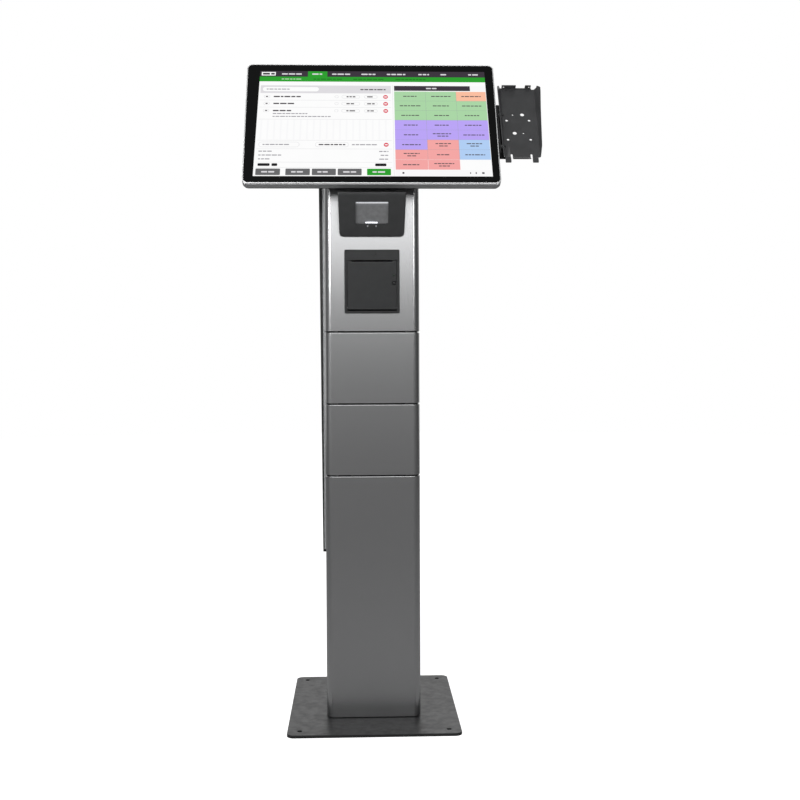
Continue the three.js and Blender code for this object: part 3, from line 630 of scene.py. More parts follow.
def screen_colour(name, rgb):
    """One colour of the picture, behind the same coated glass as the border."""
    colour = linear(*rgb)
    surface = Surface(f"screen {name}", (0.002, 0.002, 0.002), 0.06)
    surface.setting(Specular_IOR_Level=0.16)
    node = surface.nodes.new("ShaderNodeMix")
    node.data_type = "RGBA"
    node.inputs["A"].default_value = (*[c * 0.985 for c in colour], 1)
    node.inputs["B"].default_value = (*[min(1, c * 1.01) for c in colour], 1)
    surface.links.new(surface.noise(30, 1), node.inputs["Factor"])
    surface.links.new(node.outputs["Result"], surface.shader.inputs["Emission Color"])
    surface.shader.inputs["Emission Strength"].default_value = 1.0
    return surface.material


FINISHES = {
    "silver_paint": silver_paint(),
    "black_paint": black_paint(),
    "charcoal_paint": charcoal_paint(),
    "black_plastic": black_plastic(),
    "cover_glass": cover_glass(),
    "screen": screen_colour("backlight", (236, 238, 240)),
    "smoked_window": smoked_window(),
    "zinc_steel": zinc_steel(),
    "bright_steel": bright_steel(),
    "dark_alloy": dark_alloy(),
    "black_rubber": black_rubber(),
    "grey_foam": grey_foam(),
    "receipt_paper": receipt_paper(),
    "circuit_board": circuit_board(),
    "white_light": lamp("white light", (0.92, 0.94, 1.0), 1.3),
    "green_light": unlit_lamp(),
}

# Finishes of single pieces and faces, beside the record's slots.
# Partly painted sheen: the chamfer's own bright metal, plus a white diffuse part that stands in for its
# glint.
CHAMFER_WITH_PAINTED_SHEEN = polished_edge_with_painted_sheen()
# Painted highlights: two glowing strips that stand for light caught on the scanner window's recess; they
# are no lamp.
PAINTED_HIGHLIGHT_LEDGE = lamp("painted highlight ledge", (0.5, 0.51, 0.53), 0.7)
PAINTED_DIM_HIGHLIGHT_LEDGE = lamp("painted dim highlight ledge", (0.16, 0.163, 0.17), 0.3)
DIM_LAMP = lamp("dim lamp", (0.5, 0.51, 0.53), 0.4)
SCANNER_PLASTIC = plastic("scanner plastic", (0.046, 0.047, 0.048))
# Painted shade: a darker copy of the charcoal coat, for the arm that lies in shadow between the display and
# the tray.
ARM_PAINTED_SHADE = powder_coat("charcoal coat darkened as painted shade", (0.012, 0.012, 0.013), 0.6, 0.01)

# ---------------------------------------------------------------- CAD nodes that stay


def smoothing_group():
    """Geometry nodes that join a mesh's split corners and shade it smooth."""
    group = bpy.data.node_groups.new("joined corners", "GeometryNodeTree")
    group.interface.new_socket("Geometry", in_out="INPUT", socket_type="NodeSocketGeometry")
    group.interface.new_socket("Geometry", in_out="OUTPUT", socket_type="NodeSocketGeometry")
    nodes, links = group.nodes, group.links
    start = nodes.new("NodeGroupInput")
    end = nodes.new("NodeGroupOutput")
    merge = nodes.new("GeometryNodeMergeByDistance")
    merge.inputs["Distance"].default_value = 1e-6
    smooth = nodes.new("GeometryNodeSetShadeSmooth")
    links.new(start.outputs[0], merge.inputs["Geometry"])
    links.new(merge.outputs["Geometry"], smooth.inputs["Geometry"])
    links.new(smooth.outputs["Geometry"], end.inputs[0])
    return group


def keep_cad_nodes(edge=0.35):
    """Every CAD node gets its finish, and those still seen get rounded edges and level shading."""
    group = smoothing_group()
    for name, node in frame["nodes"].items():
        slot = node.material_slots[0]
        slot_name = slot.material.name
        slot.link = "OBJECT"
        slot.material = DIM_LAMP if name.startswith("scanner_indicator") else FINISHES[slot_name]
        if node.hide_render:
            continue
        joined = node.modifiers.new("joined", "NODES")
        joined.node_group = group
        soften(node, edge, 2)
        shade_level(node)


# ---------------------------------------------------------------- base and column


def make_base():
    low, high = extent("base_plate")
    corner = 15
    anchor_x, anchor_y, anchor_radius = high.x - 25, high.y - 27, 4.8
    bolt_x, bolt_front, bolt_back, bolt_radius = 62, -40, 18, 4.3
    anchors = [circle(anchor_radius, (x, y)) for x in (-anchor_x, anchor_x) for y in (-anchor_y, anchor_y)]
    bolts = [circle(bolt_radius, (x, y), 16) for x in (-bolt_x, bolt_x) for y in (bolt_front, bolt_back)]
    cable = centred_rect(60, 30, 12, (0, -30))
    loops = [rounded_rect(low, high, corner, 12), *map(hole, [*anchors, *bolts, cable])]
    shape = plate(loops, low.z, high.z, edge=0.9)
    piece("base_plate_finished", shape, ["black_paint"], "kiosk_stand", ["base_plate"])


def column_path():
    """The panels' outer line in plan, from one rear lip round the front to the other."""
    half, back, front = PANEL_HIGH.x, PANEL_HIGH.y, COLUMN_FRONT
    wide, deep, lip, bend = 15, 28, 10, 2.0
    left = [
        (-half + lip, back),
        *arc((-half + bend, back - bend), (bend, bend), 90, 180, 4),
        *arc((-half + wide, front + deep), (wide, deep), 180, 270, 28),
    ]
    return left + [(-a, b) for a, b in reversed(left)]


PANEL_OPENINGS = {"printer": ((-54, 846), (54, 971)), "scanner": ((-40, 1015), (40, 1062))}   # in x, z


def make_panels():
    """Each panel is a folded sheet whose top edge is bent inwards round a small radius."""
    path = column_path()
    roll, flange, edge = 2.4, 4.5, 0.8
    for name in ("panel_lower", "panel_mid_lower", "panel_mid_upper", "panel_upper"):
        low, high = extent(name)
        bottom, top = low.z, high.z
        profile = [
            (edge, bottom), (edge * 0.3, bottom + edge * 0.3), (0, bottom + edge),
            *[(roll - a, top - roll + b) for a, b in arc((0, 0), (roll, roll), 0, 90, 6)],
            (flange, top), (flange, top - SHEET), (SHEET + 0.6, top - SHEET),
            (SHEET, top - SHEET - 0.6), (SHEET, bottom + 0.3), (SHEET - 0.3, bottom),
        ]
        panel = solid(f"{name}_finished", sweep(path, profile, closed_path=False))
        if name == "panel_upper":
            inside, outside = 90, 115
            openings = [block((*a, inside), (*b, outside), 0.5, 2) for a, b in PANEL_OPENINGS.values()]
            combine(panel, "DIFFERENCE", *cutters(FRONTWARD, *openings))
        finish(panel, ["silver_paint"], "kiosk_stand", [name])


# ---------------------------------------------------------------- scanner


def scanner_depth(z):
    """How far forward of the column the wedge reaches at a height."""
    low, high = SCANNER_LOW.z, SCANNER_HIGH.z
    brow, reach = high - SCANNER_BROW, COLUMN_FRONT - SCANNER_LOW.y
    share = min(1, (z - low) / (brow - low))
    return SCANNER_FOOT + (reach - SCANNER_FOOT) * share


def scanner_half_width(z, corner=8):
    low, high = SCANNER_LOW.z, SCANNER_HIGH.z
    bottom_half, top_half = 66, SCANNER_HIGH.x
    half = bottom_half + (top_half - bottom_half) * (z - low) / (high - low)
    if z < low + corner:
        rise = low + corner - z
        half -= corner - math.sqrt(corner ** 2 - rise ** 2)
    return half


def scanner_shell(shrink=0.0):
    """The wedge from its foot to its brow, as level rings with rounded front corners."""
    low, high = SCANNER_LOW.z + shrink, SCANNER_HIGH.z - shrink
    brow = high - SCANNER_BROW
    edge, side = 1.8, 3.5
    heights = [low + d for d in (0, 0.25, 0.8, 1.8, 3.5, 6, 9, 20, 40)]
    heights += [brow - d for d in (2.4, 0.8)] + [brow + d for d in (0.8, 2.4)]
    heights += [high - edge * (1 - math.sin(math.radians(t))) for t in (0, 30, 60, 90)]
    face_shift = shrink / math.cos(FACE_LEAN)
    back = -COLUMN_FRONT - (6 if shrink else -0.3)
    shape = Shape()
    rings = []
    for z in heights:
        from_end = min(z - low, high - z)
        rounding = edge - math.sqrt(max(0, edge ** 2 - max(0, edge - from_end) ** 2))
        near_brow = max(0, 1 - abs(z - brow) / 3)
        depth = min(scanner_depth(z), scanner_depth(brow)) - face_shift - rounding - 0.55 * near_brow
        half = scanner_half_width(z) - shrink - rounding
        outline = rounded_rect((-half, back - side), (half, -COLUMN_FRONT + depth), side, 5)
        flat_back = [(a, max(b, back)) for a, b in outline]
        rings.append(shape.ring((a, -b, z) for a, b in flat_back))
    return shape.closed(rings)


def make_scanner():
    body = "kiosk_stand"
    window_low, window_high = extent("scanner_window", FACE)
    margin = 2.0
    low, high = window_low.xy + Vector((margin, margin)), window_high.xy - Vector((margin, margin))
    housing = solid("scanner_housing_finished", scanner_shell())
    through = (-12, 12)
    recess = plate([rounded_rect(low, high, 2, 4)], *through, 0)
    dots = [centre_of(f"scanner_indicator_{side}", FACE) for side in ("left", "right")]
    bores = [plate([circle(1.5, dot.xy, 20)], *through, 0) for dot in dots]
    combine(housing, "DIFFERENCE", *cutters(Matrix(), scanner_shell(SCANNER_WALL)))
    combine(housing, "DIFFERENCE", *cutters(FACE, recess, *bores))
    finish(
        housing, ["black_plastic"], body, ["scanner_housing"], bevel=0.35,
        own={"black_plastic": SCANNER_PLASTIC},
    )

    front = window_high.z
    pane = plate([rounded_rect(window_low, window_high, 3)], window_low.z, front, 0.2)
    # The two ledges glow as painted highlights of the recess's upper wall.
    ledges = [(5.6, 2.6, 0.6, 0.3), (10, 5.7, 0.5, 0.2)]   # lower and upper edge, how proud, rounding
    for number, (bottom, top, proud, edge) in enumerate(ledges, 1):
        corner = (low.x + 0.6, high.y - bottom, front - 0.2)
        ledge = block(corner, (high.x - 0.6, high.y - top, front + proud), edge)
        pane.add(ledge.finished(number))
    made = solid("scanner_window_finished", pane, FACE)
    # These finishes paint the highlights on the ledges.
    lit = {"lit_ledge": PAINTED_HIGHLIGHT_LEDGE, "dim_ledge": PAINTED_DIM_HIGHLIGHT_LEDGE}
    finish(made, ["smoked_window", *lit], body, ["scanner_window"], own=lit)

    bar_low, bar_high = extent("scanner_led_bar", FACE)
    bar = Shape()
    cells, gap, short, lit_share = 6, 0.4, 1.6, 0.62
    top = bar_low.y + lit_share * (bar_high.y - bar_low.y)
    pitch = (bar_high.x - short - bar_low.x) / cells
    for i in range(cells):
        left, right = bar_low.x + i * pitch + gap / 2, bar_low.x + (i + 1) * pitch - gap / 2
        bar.add(block((left, bar_low.y, bar_low.z), (right, top, bar_high.z), 0.3))
    piece("scanner_led_bar_finished", bar, ["white_light"], body, ["scanner_led_bar"], FACE)


# ---------------------------------------------------------------- printer


def make_printer():
    low, high = extent("printer_bezel")
    door_low, door_high = extent("printer_door")
    edge = 0.7
    side_gap = 0.7
    doorway = rounded_rect(
        (door_low.x - side_gap, low.z + 5), (door_high.x + side_gap, door_high.z + side_gap), 0.8, 3
    )
    dimple = circle(1.0, (7, high.z - 10), 16)
    front = -low.y
    back = -COLUMN_FRONT + 0.3
    rim_loop = rounded_rect((low.x, low.z), (high.x, high.z), 2.5, 6)
    bezel = plate([rim_loop, hole(doorway), hole(dimple)], back, front, edge)
    sleeve_outer = rounded_rect((-53, low.z + 3.2), (53, high.z - 3.2), 1, 3)
    sleeve_inner = rounded_rect((-51.2, low.z + 5), (51.2, high.z - 5), 0.8, 3)
    sleeve_end = 89
    bezel.add(plate([sleeve_outer, hole(sleeve_inner)], sleeve_end, back + 0.2, 0.2))
    piece("printer_bezel_finished", bezel, ["black_plastic"], "kiosk_stand", ["printer_bezel"], FRONTWARD)


PIN_RADIUS = 1.6


def make_printer_door():
    """The door's moulded skin, with its paper slot and holes for button and lamp."""
    low, high = extent("printer_door")
    button, led, platen = map(centre_of, ("feed_button", "status_led", "platen_roller"))
    slot_half, notch = 41, 2.0
    corner = 0.9
    front = -low.y
    thick = 3.0
    outline = [
        *arc((high.x - corner, low.z + corner), (corner, corner), -90, 0, 3),
        (high.x, high.z), (slot_half, high.z), (slot_half, high.z - notch),
        (-slot_half, high.z - notch), (-slot_half, high.z), (low.x, high.z),
        *arc((low.x + corner, low.z + corner), (corner, corner), 180, 270, 3),
    ]
    holes = [circle(4.5, (button.x, button.z)), circle(2.3, (led.x, led.z), 20)]
    skin = plate([outline, *map(hole, holes)], front - thick, front, 0.45)

    pin = extent("printer_door_pin")[0] + Vector((0, PIN_RADIUS, PIN_RADIUS))
    near, far = thick - front - 0.5, pin.y + 3.2
    lug = [(far, low.z + 0.5), (far, pin.z + 4), (near, pin.z + 4), (near, low.z + 0.5)]
    cheek = rounded_rect((near, platen.z - 8), (platen.y + 6, platen.z + 5), 2.5, 4)
    pin_hole = circle(1.9, (pin.y, pin.z), 20)
    axle_hole = circle(2.4, (platen.y, platen.z), 20)
    for side in (-1, 1):
        for loops, inner, outer in (([lug, hole(pin_hole)], 36, 42), ([cheek, hole(axle_hole)], 43, 45)):
            web = plate(loops, *sorted((side * inner, side * outer)), 0.2)
            skin.add(web.placed(FRONTWARD.inverted() @ SIDEWAYS))
    piece("printer_door_finished", skin, ["black_plastic"], "printer_door", ["printer_door"], FRONTWARD)


def make_feed_button():
    """A round cap with a domed top, standing in a clear ring of shadow."""
    low, high = extent("feed_button")
    middle = centre_of("feed_button")
    top = high.y - low.y
    radius, flange, flange_thick, dome = 3.7, 5.4, 1.6, 2.2
    turns = [i / 4 for i in range(7)]
    crown = [(radius * math.cos(t), top - dome + dome * math.sin(t)) for t in turns]
    profile = [(flange, 0), (flange, flange_thick), (radius, flange_thick), *crown]
    place = axes((1, 0, 0), (0, 0, 1), (0, -1, 0), (middle.x, high.y, middle.z))
    piece("feed_button_finished", turned(profile), ["black_plastic"], "feed_button", ["feed_button"], place)


# ---------------------------------------------------------------- display


def make_display_frame():
    low, high = extent("display_frame", HEAD)
    corner = 12
    outline = rounded_rect(low, high, corner, 14)
    lip, wall = 2.3, 10.0
    front, back = high.z, low.z
    profile = [
        (lip, front - 3.0), (lip, front - 0.15), (lip - 0.25, front), (1.2, front),
        (0.5, front - 0.35), (0.15, front - 1.0), (0.1, front - 1.9),
        (0.1, front - 2.6), (0.5, front - 2.9), (0.5, front - 3.6), (0, front - 3.9),
        (0, back + 2.6), (0.25, back + 1.4), (0.9, back + 0.5), (2.0, back),
        (wall, back), (wall, front - 3.0),
    ]
    # The chamfer faces, whose sheen is partly painted.
    chamfer_faces_with_painted_sheen = range(1, 6)
    numbers = [1 if i in chamfer_faces_with_painted_sheen else 0 for i in range(len(profile))]
    shape = sweep(outline, profile, finishes=numbers)
    made = solid("display_frame_finished", shape, HEAD)
    finish(made, ["dark_alloy", "chamfer"], "display_head", ["display_frame"], own={"chamfer": CHAMFER_WITH_PAINTED_SHEEN})


def make_display_glass():
    low, high = extent("display_glass", HEAD)
    shape = plate([rounded_rect(low, high, 9.4, 12)], low.z, high.z, 0.35, 4)
    piece("display_glass_finished", shape, ["cover_glass"], "display_head", ["display_glass"], HEAD)


def make_rear_cover():
    """A moulded back: a flat rim, a raised middle with soft shoulders, vents and a cable hole."""
    low, high = extent("display_rear_cover", HEAD)
    rim_back = high.z - 3.0
    wall = 2.5

    def outline(half_wide, half_high, corner):
        return centred_rect(2 * half_wide, 2 * half_high, corner, steps=8)

    outside = [
        (outline(high.x - 1, high.y - 1, 9), high.z),
        (outline(high.x, high.y, 10), high.z - 0.8),
        (outline(high.x, high.y, 10), rim_back + 1.0),
        (outline(high.x - 0.3, high.y - 0.3, 10), rim_back + 0.3),
        (outline(high.x - 1, high.y - 1, 10), rim_back),
        (outline(229.5, 131.5, 22), rim_back),
        (outline(227.5, 129.5, 22), rim_back - 0.7),
        (outline(183, 103, 22), low.z + 2.2),
        (outline(180, 100, 21), low.z + 1.0),
        (outline(177, 97, 20), low.z + 0.25),
        (outline(173, 93, 18), low.z),
    ]
    inside = [
        (outline(170, 90, 16), low.z + wall),
        (outline(177, 97, 18), low.z + wall + 1.2),
        (outline(224, 126, 20), rim_back + 0.3),
        (outline(226, 128, 20), high.z),
    ]
    vents = [centred_rect(118, 3, 1.5, (0, 67.5 + row * 6), 4) for row in range(5)]
    grilles = [
        centred_rect(2.6, 14, 1.3, (side * 148 + (i - 4) * 5, -81), 4) for side in (-1, 1) for i in range(9)
    ]
    cable = circle(9, (0, -70))
    shape = Shape()
    outer = [shape.flat(loop, level) for loop, level in outside]
    inner = [shape.flat(loop, level) for loop, level in inside]
    shape.skin(outer)
    shape.skin(inner)
    shape.bridge(inner[-1], outer[0])
    outer_holes, inner_holes = [], []
    flare = 0.4
    for loop in [*vents, *grilles, cable]:
        mouth = inset(hole(loop), -flare)[::-1]
        levels = ((mouth, low.z), (loop, low.z + flare), (loop, low.z + wall))
        rings = [shape.flat(points, level) for points, level in levels]
        shape.skin(rings)
        outer_holes.append(rings[0])
        inner_holes.append(rings[-1])
    shape.cap([outer[-1], *outer_holes])
    shape.cap([inner[0], *inner_holes])
    made = solid("display_rear_cover_finished", shape, HEAD)
    finish(made, ["black_plastic"], "display_head", ["display_rear_cover"])

    far_x, far_y = high.x - 12, high.y - 9
    add_rear_screws("rear_cover_screws", (-far_x, 0, far_x), (-far_y, far_y), rim_back, screw(2.8, 1.4))


def add_rear_screws(name, columns, rows, level, head):
    """Screw heads in columns and rows on the back of the display."""
    heads = Shape()
    for x in columns:
        for y in rows:
            heads.add(head.placed(axes(-RIGHT, (0, 1, 0), (0, 0, -1), (x, y, level))))
    piece(name, heads, ["bright_steel"], "display_head", place=HEAD)


def make_yoke_screws():
    half_pitch, yoke_thick = 50, 3.3
    plate_back = extent("display_rear_cover", HEAD)[0].z - yoke_thick
    sides = (-half_pitch, half_pitch)
    add_rear_screws("yoke_screws", sides, sides, plate_back, screw(4.2, 2.6))


# ---------------------------------------------------------------- screen picture

SCREEN_COLOURS = {
    "white": (252, 252, 252), "pale": (248, 248, 249), "band": (222, 220, 224), "line": (206, 206, 210),
    "text": (84, 80, 84), "faint": (160, 158, 164), "nav": (58, 50, 60), "green": (42, 158, 44),
    "grass": (170, 214, 166), "leaf": (30, 120, 32), "peach": (250, 190, 160), "violet": (186, 164, 246),
    "salmon": (244, 166, 164), "blue": (176, 206, 244), "button": (104, 104, 106), "red": (222, 72, 92),
    "black": (24, 22, 26), "seam": (150, 156, 160),
}
PICTURE = {"wide": 476.0, "high": 269.0, "low": -135.8}   # lit area and its lower edge
# How far the picture's left and right edges move to the right, in millimetres, at its foot and its head.
KEYSTONE = {"left": (3.5, 9.5), "right": (1.5, -1.5)}
LAYER_STEP, TILE_BELOW, TILE_ABOVE = 0.02, 0.01, 0.008


class Picture:
    """Thin, flat tiles on the glass, placed in millimetres from the picture's top left corner."""

    def __init__(self):
        self.shape = Shape()
        self.names = list(SCREEN_COLOURS)
        self.dice = random.Random(5)

    def tile(self, colour, left, top, right, bottom, corner=0.0, layer=1):
        edge_x, edge_y = -PICTURE["wide"] / 2, PICTURE["low"] + PICTURE["high"]
        low, high = (edge_x + left, edge_y - bottom), (edge_x + right, edge_y - top)
        if corner:
            loop = rounded_rect(low, high, min(corner, (right - left) / 2, (bottom - top) / 2), 5)
        else:
            loop = [low, (high[0], low[1]), high, (low[0], high[1])]
        level = LAYER_STEP * layer
        low_level, high_level = level - TILE_BELOW, level + TILE_ABOVE
        tile = plate([[self.warped(a, b) for a, b in loop]], low_level, high_level, 0, 1)
        self.shape.add(tile.finished(self.names.index(colour)))

    @staticmethod
    def warped(a, b):
        """A point of the picture, moved so that the picture's sides follow KEYSTONE."""
        up = (b - PICTURE["low"]) / PICTURE["high"]
        across = a / PICTURE["wide"] + 0.5
        left, right = [foot + (head - foot) * up for foot, head in KEYSTONE.values()]
        return a + left + (right - left) * across, b

    def words(self, colour, left, right, middle, tall, layer=3):
        """A run of short bars that stands for a line of writing."""
        x = left
        while x < right - tall:
            wide = min(tall * self.dice.uniform(1.6, 4.2), right - x)
            self.tile(colour, x, middle - tall / 2, x + wide, middle + tall / 2, tall * 0.3, layer)
            x += wide + tall * 0.55

    def pill(self, left, right, middle, tall, border="line", fill="white", layer=3):
        round_end = tall / 2 - 0.01
        self.tile(border, left, middle - tall / 2, right, middle + tall / 2, round_end, layer)
        self.tile(
            fill, left + 0.6, middle - tall / 2 + 0.6, right - 0.6, middle + tall / 2 - 0.6,
            round_end - 0.6, layer + 1,
        )

    def red_mark(self, middle):
        self.tile("red", 259.6, middle - 5, 269.6, middle + 5, 4.95, 3)
        self.tile("white", 261.8, middle - 1.3, 267.4, middle + 1.3, 0.5, 4)


def draw_top_bars(picture):
    wide = PICTURE["wide"]
    picture.tile("nav", 0, 0, wide, 15)
    picture.tile("green", 0, 15, wide, 28)
    picture.tile("white", 3.5, 2.8, 33, 12.2, 0.8, 2)
    picture.words("nav", 6, 31, 7.6, 4.6, 3)
    picture.tile("green", 101, 0.6, 142, 15.2, 0, 2)
    labels = [(46, 92), (110, 132), (152, 192), (214, 244), (268, 312), (335, 358), (382, 398), (441, 462)]
    for left, right in labels:
        picture.words("band", left, right, 7.9, 3.4)
    picture.words("grass", 46, 88, 21.4, 2.8)
    for left, right in [(113, 176), (197, 262), (286, 350)]:
        picture.words("leaf", left, right, 21.4, 2.8)


def draw_sale_list(picture):
    """Search band, three item rows, and an empty stretch with faint columns."""
    picture.tile("band", 3.5, 38.4, 276, 58.9, 0, 2)
    picture.pill(7, 126, 48.4, 13, "line", "white", 3)
    picture.words("faint", 16, 64, 48.4, 2.6, 5)
    picture.words("text", 212, 266, 48.8, 2.8, 5)
    rows = [(67.9, 88), (86.1, 79), (104.6, 69.5)]
    for middle, end in rows:
        picture.pill(11.5, 24, middle, 7.4)
        picture.words("text", 15.5, 20, middle, 2.6, 5)
        picture.words("text", 31.6, end, middle, 3.4)
        picture.pill(158.5, 166.5, middle, 6.4)
        picture.pill(173, 211, middle, 8.4)
        picture.words("text", 183, 203, middle, 2.9, 5)
        picture.pill(220, 247.5, middle, 8.4)
        picture.words("text", 226, 242, middle, 2.9, 5)
        picture.red_mark(middle)
    picture.words("faint", 31.6, 105, 112.2, 2.4)
    picture.words("faint", 31.6, 151, 119.6, 2.4)
    for level in (77, 95.4, 126.5, 180, 201.5, 234.6, 247.6):
        picture.tile("line", 3.5, level, 276, level + 0.5, 0, 2)
    for i in range(20):
        picture.tile("pale", 8 + i * 13.4, 128, 11.5 + i * 13.4, 178, 0, 2)


def draw_totals(picture):
    picture.pill(7, 89, 191, 13)
    picture.words("faint", 15, 72, 191, 2.6, 5)
    picture.pill(121, 188.5, 191, 12)
    picture.words("text", 128, 182, 191, 3, 5)
    picture.words("faint", 195, 247, 191, 2.6)
    picture.red_mark(191)
    for middle, label_end, value_start in [(207.8, 37, 250), (217.4, 54, 253), (227, 32, 250)]:
        picture.words("faint", 7.8, label_end, middle, 2.6)
        picture.words("faint", value_start, 269, middle, 2.6)
    picture.words("black", 7.8, 47, 241, 6.6)
    picture.words("black", 242, 270, 241, 6.6)
    for left, right, colour in [
        (4.5, 53.2, "button"), (63.8, 112.3, "button"), (116.2, 163.8, "button"),
        (167.4, 215, "button"), (225.7, 273.3, "green"),
    ]:
        picture.tile(colour, left, 250.6, right, 266.6, 1.6, 2)
        middle, half = (left + right) / 2, 13
        picture.words("band", middle - half, middle + half, 258.6, 3.6, 3)


def draw_key_grid(picture):
    columns = [282.8, 348.4, 412.6, 475.4]
    tops = [53.4 + 24.95 * row for row in range(9)]
    plan = [
        ("grass", "grass", "peach"), ("grass", "grass", "grass"), ("grass", "grass", "grass"),
        ("violet", "violet", "violet"), ("violet", "violet", "violet"), ("violet", "salmon", "blue"),
        ("salmon", "salmon", "blue"), ("salmon", "salmon", "white"),
    ]
    picture.tile("nav", columns[0], 38.4, 442.7, 51.4, 0, 2)
    picture.words("band", 350, 374, 45, 3.2, 3)
    picture.tile("pale", 442.7, 38.4, columns[-1], 51.4, 0, 2)
    picture.tile("seam", columns[0], tops[0], columns[-1] - 0.4, tops[6] + 24.6, 0, 1)
    two_lines = {(4, 1), (5, 1), (5, 2), (6, 0), (7, 1)}
    for row, colours in enumerate(plan):
        for column, colour in enumerate(colours):
            left, right = columns[column], columns[column + 1]
            top, bottom = tops[row], tops[row + 1]
            picture.tile(colour, left, top, right - 0.4, bottom - 0.4, 0, 2)
            if colour == "white":
                continue
            middle, level = (left + right) / 2, (top + bottom) / 2
            half = picture.dice.uniform(14, 22)
            if (row, column) in two_lines:
                picture.words("text", middle - half, middle + half, level - 3, 2.3)
                picture.words("text", middle - half * 0.55, middle + half * 0.55, level + 3, 2.3)
            else:
                picture.words("text", middle - half, middle + half, level, 2.4)
    picture.tile("pale", columns[0], 253.8, columns[-1], 267.6, 0, 2)
    for left, right in [(296, 300), (431, 433), (442, 444.5), (455, 460)]:
        picture.tile("text", left, 258.6, right, 262.8, 1, 3)
    picture.tile("line", 279.4, 36, 279.9, 268, 0, 2)


def make_picture():
    picture = Picture()
    picture.tile("white", 0, 0, PICTURE["wide"], PICTURE["high"], 0, 0)
    draw_top_bars(picture)
    draw_sale_list(picture)
    draw_totals(picture)
    draw_key_grid(picture)
    made = solid("screen_picture", picture.shape, HEAD)
    colours = {f"screen_{name}": screen_colour(name, rgb) for name, rgb in SCREEN_COLOURS.items()}
    finish(made, list(colours), "display_head", own=colours)


# ---------------------------------------------------------------- cradle

TRAY = {
    "left": 267.0, "right": 338.0, "bottom": -84.0, "top": 93.0,
    "face": -4.0, "thick": 2.0, "wall": 14.0,
}


def tray_end(height, upper):
    """Where the folded sheet ends along v, at a height above the tray's floor."""
    low, high, wall = TRAY["bottom"], TRAY["top"], TRAY["wall"]
    knee, shoulder = 0.4 * wall, 0.7 * wall
    peak = wall + 0.5
    foot_rise, head_drop = 14, 9
    height = min(height, wall)
    if upper:
        return high - head_drop * max(0, height - shoulder) / (peak - shoulder)
    if height <= knee:
        return low + foot_rise * max(0, height - 0.5) / (knee - 0.5)
    start = low + foot_rise
    return start + (high - head_drop - start) * (height - knee) / (peak - knee) * 0.999


def tray_sheet():
    """The tray's floor and its two flared walls, as one bent sheet of even thickness."""
    face, thick, wall = TRAY["face"], TRAY["thick"], TRAY["wall"]
    left, right = TRAY["left"], TRAY["right"]
    back = face - thick
    levels = [share * (wall + thick) for share in (1, 0.78, 0.6, 0.45)]
    flare = 0.9
    lean_left, lean_right = 6.6 / (wall + thick), 10.1 / (wall + thick)
    line = [
        *[(left - flare - lean_left * rise, back + rise) for rise in levels],
        (left - flare, back), (right + flare, back),
        *[(right + flare + lean_right * rise, back + rise) for rise in reversed(levels)],
    ]
    outer = filleted(line, 4.5, 6)
    inner = inset(outer, thick, closed=False)
    shape = Shape()
    rows = []
    for upper in (False, True):
        for points in (outer, inner):
            rows.append(shape.ring(
                (u, tray_end(w_in - face, upper), w)
                for (u, w), (_, w_in) in zip(points, inner)
            ))
    low_out, low_in, high_out, high_in = rows
    shape.bridge(low_out, high_out, closed=False)
    shape.bridge(high_in, low_in, closed=False)
    shape.bridge(low_out, low_in, closed=False)
    shape.bridge(high_out, high_in, closed=False)
    for end in (0, -1):
        shape.face((low_out[end], high_out[end], high_in[end], low_in[end]))
    return shape


def arm_screw_bores(low, high):
    """Holes for the two screws that join the tray to its arm, drawn in v, w."""
    radius, level = 2.3, -4.2
    return [plate([circle(radius, (v, level), 20)], low, high, 0) for v in (22, -58)]


def make_cradle():
    face, thick = TRAY["face"], TRAY["thick"]
    top, bottom = TRAY["top"], TRAY["bottom"]
    back = face - thick
    tray = solid("cradle_tray_finished", tray_sheet(), HEAD)

    reach = 10
    lip = [
        (270, back + 0.5), (330.5, back + 0.5), (330.5, face + reach), (318.4, face + reach),
        (318.4, face + 1.2), (299.4, face + 1.2), (299.4, face + reach), (270, face + reach),
    ]
    rivets = [circle(2.1, (u, face + 4.9), 16) for u in (274.5, 327)]
    lips = plate([lip, *map(hole, rivets)], -top, -top + thick, 0)
    hooks = [
        block((u, bottom - 13, back + 0.01), (u + 11.7, bottom + 1.5, face - 0.01), 0, 1.4)
        for u in (268, 323)
    ]
    middle, lip_half, curl = 301.0, 18, 9
    heart = (bottom + 1, face + curl)
    band = [
        *arc(heart, (curl, curl), -90, -155, 8),
        *reversed(arc(heart, (curl + thick, curl + thick), -90, -155, 8)),
    ]
    curled = plate([band[::-1]], middle - lip_half, middle + lip_half, 0)
    combine(
        tray, "UNION",
        solid("lips", lips, HEAD_UPWARD),
        solid("curl", curled, HEAD_SIDEWAYS),
        *[solid("hook", shape, HEAD) for shape in hooks],
    )

    notches = [
        block((332, top - 3, back - 5), (342.5, top + 5, face + 9), 0, 1.5),
        *[
            block((u, bottom - 2, back - 1), (u + 4, bottom + 8, face + 1), 0, 1.9)
            for u in (middle - lip_half - 4, middle + lip_half)
        ],
    ]
    holes = [
        (276.3, 9, 2.7), (322.3, 9, 2.7), (276.3, -40, 2.7), (322.3, -40, 2.7),
        (309, 24, 4.2), (290.8, -23.5, 4.2), (289.3, 23.5, 1.8), (308.6, -24, 1.8),
    ]
    bores = [plate([circle(r, (u, v), 28)], back - 4, face + 4, 0) for u, v, r in holes]
    screw_bores = cutters(HEAD_SIDEWAYS, *arm_screw_bores(257, 271))
    combine(tray, "DIFFERENCE", *cutters(HEAD, *notches, *bores), *screw_bores)
    finish(tray, ["charcoal_paint"], "display_head", ["cradle_tray"], bevel=0.3)


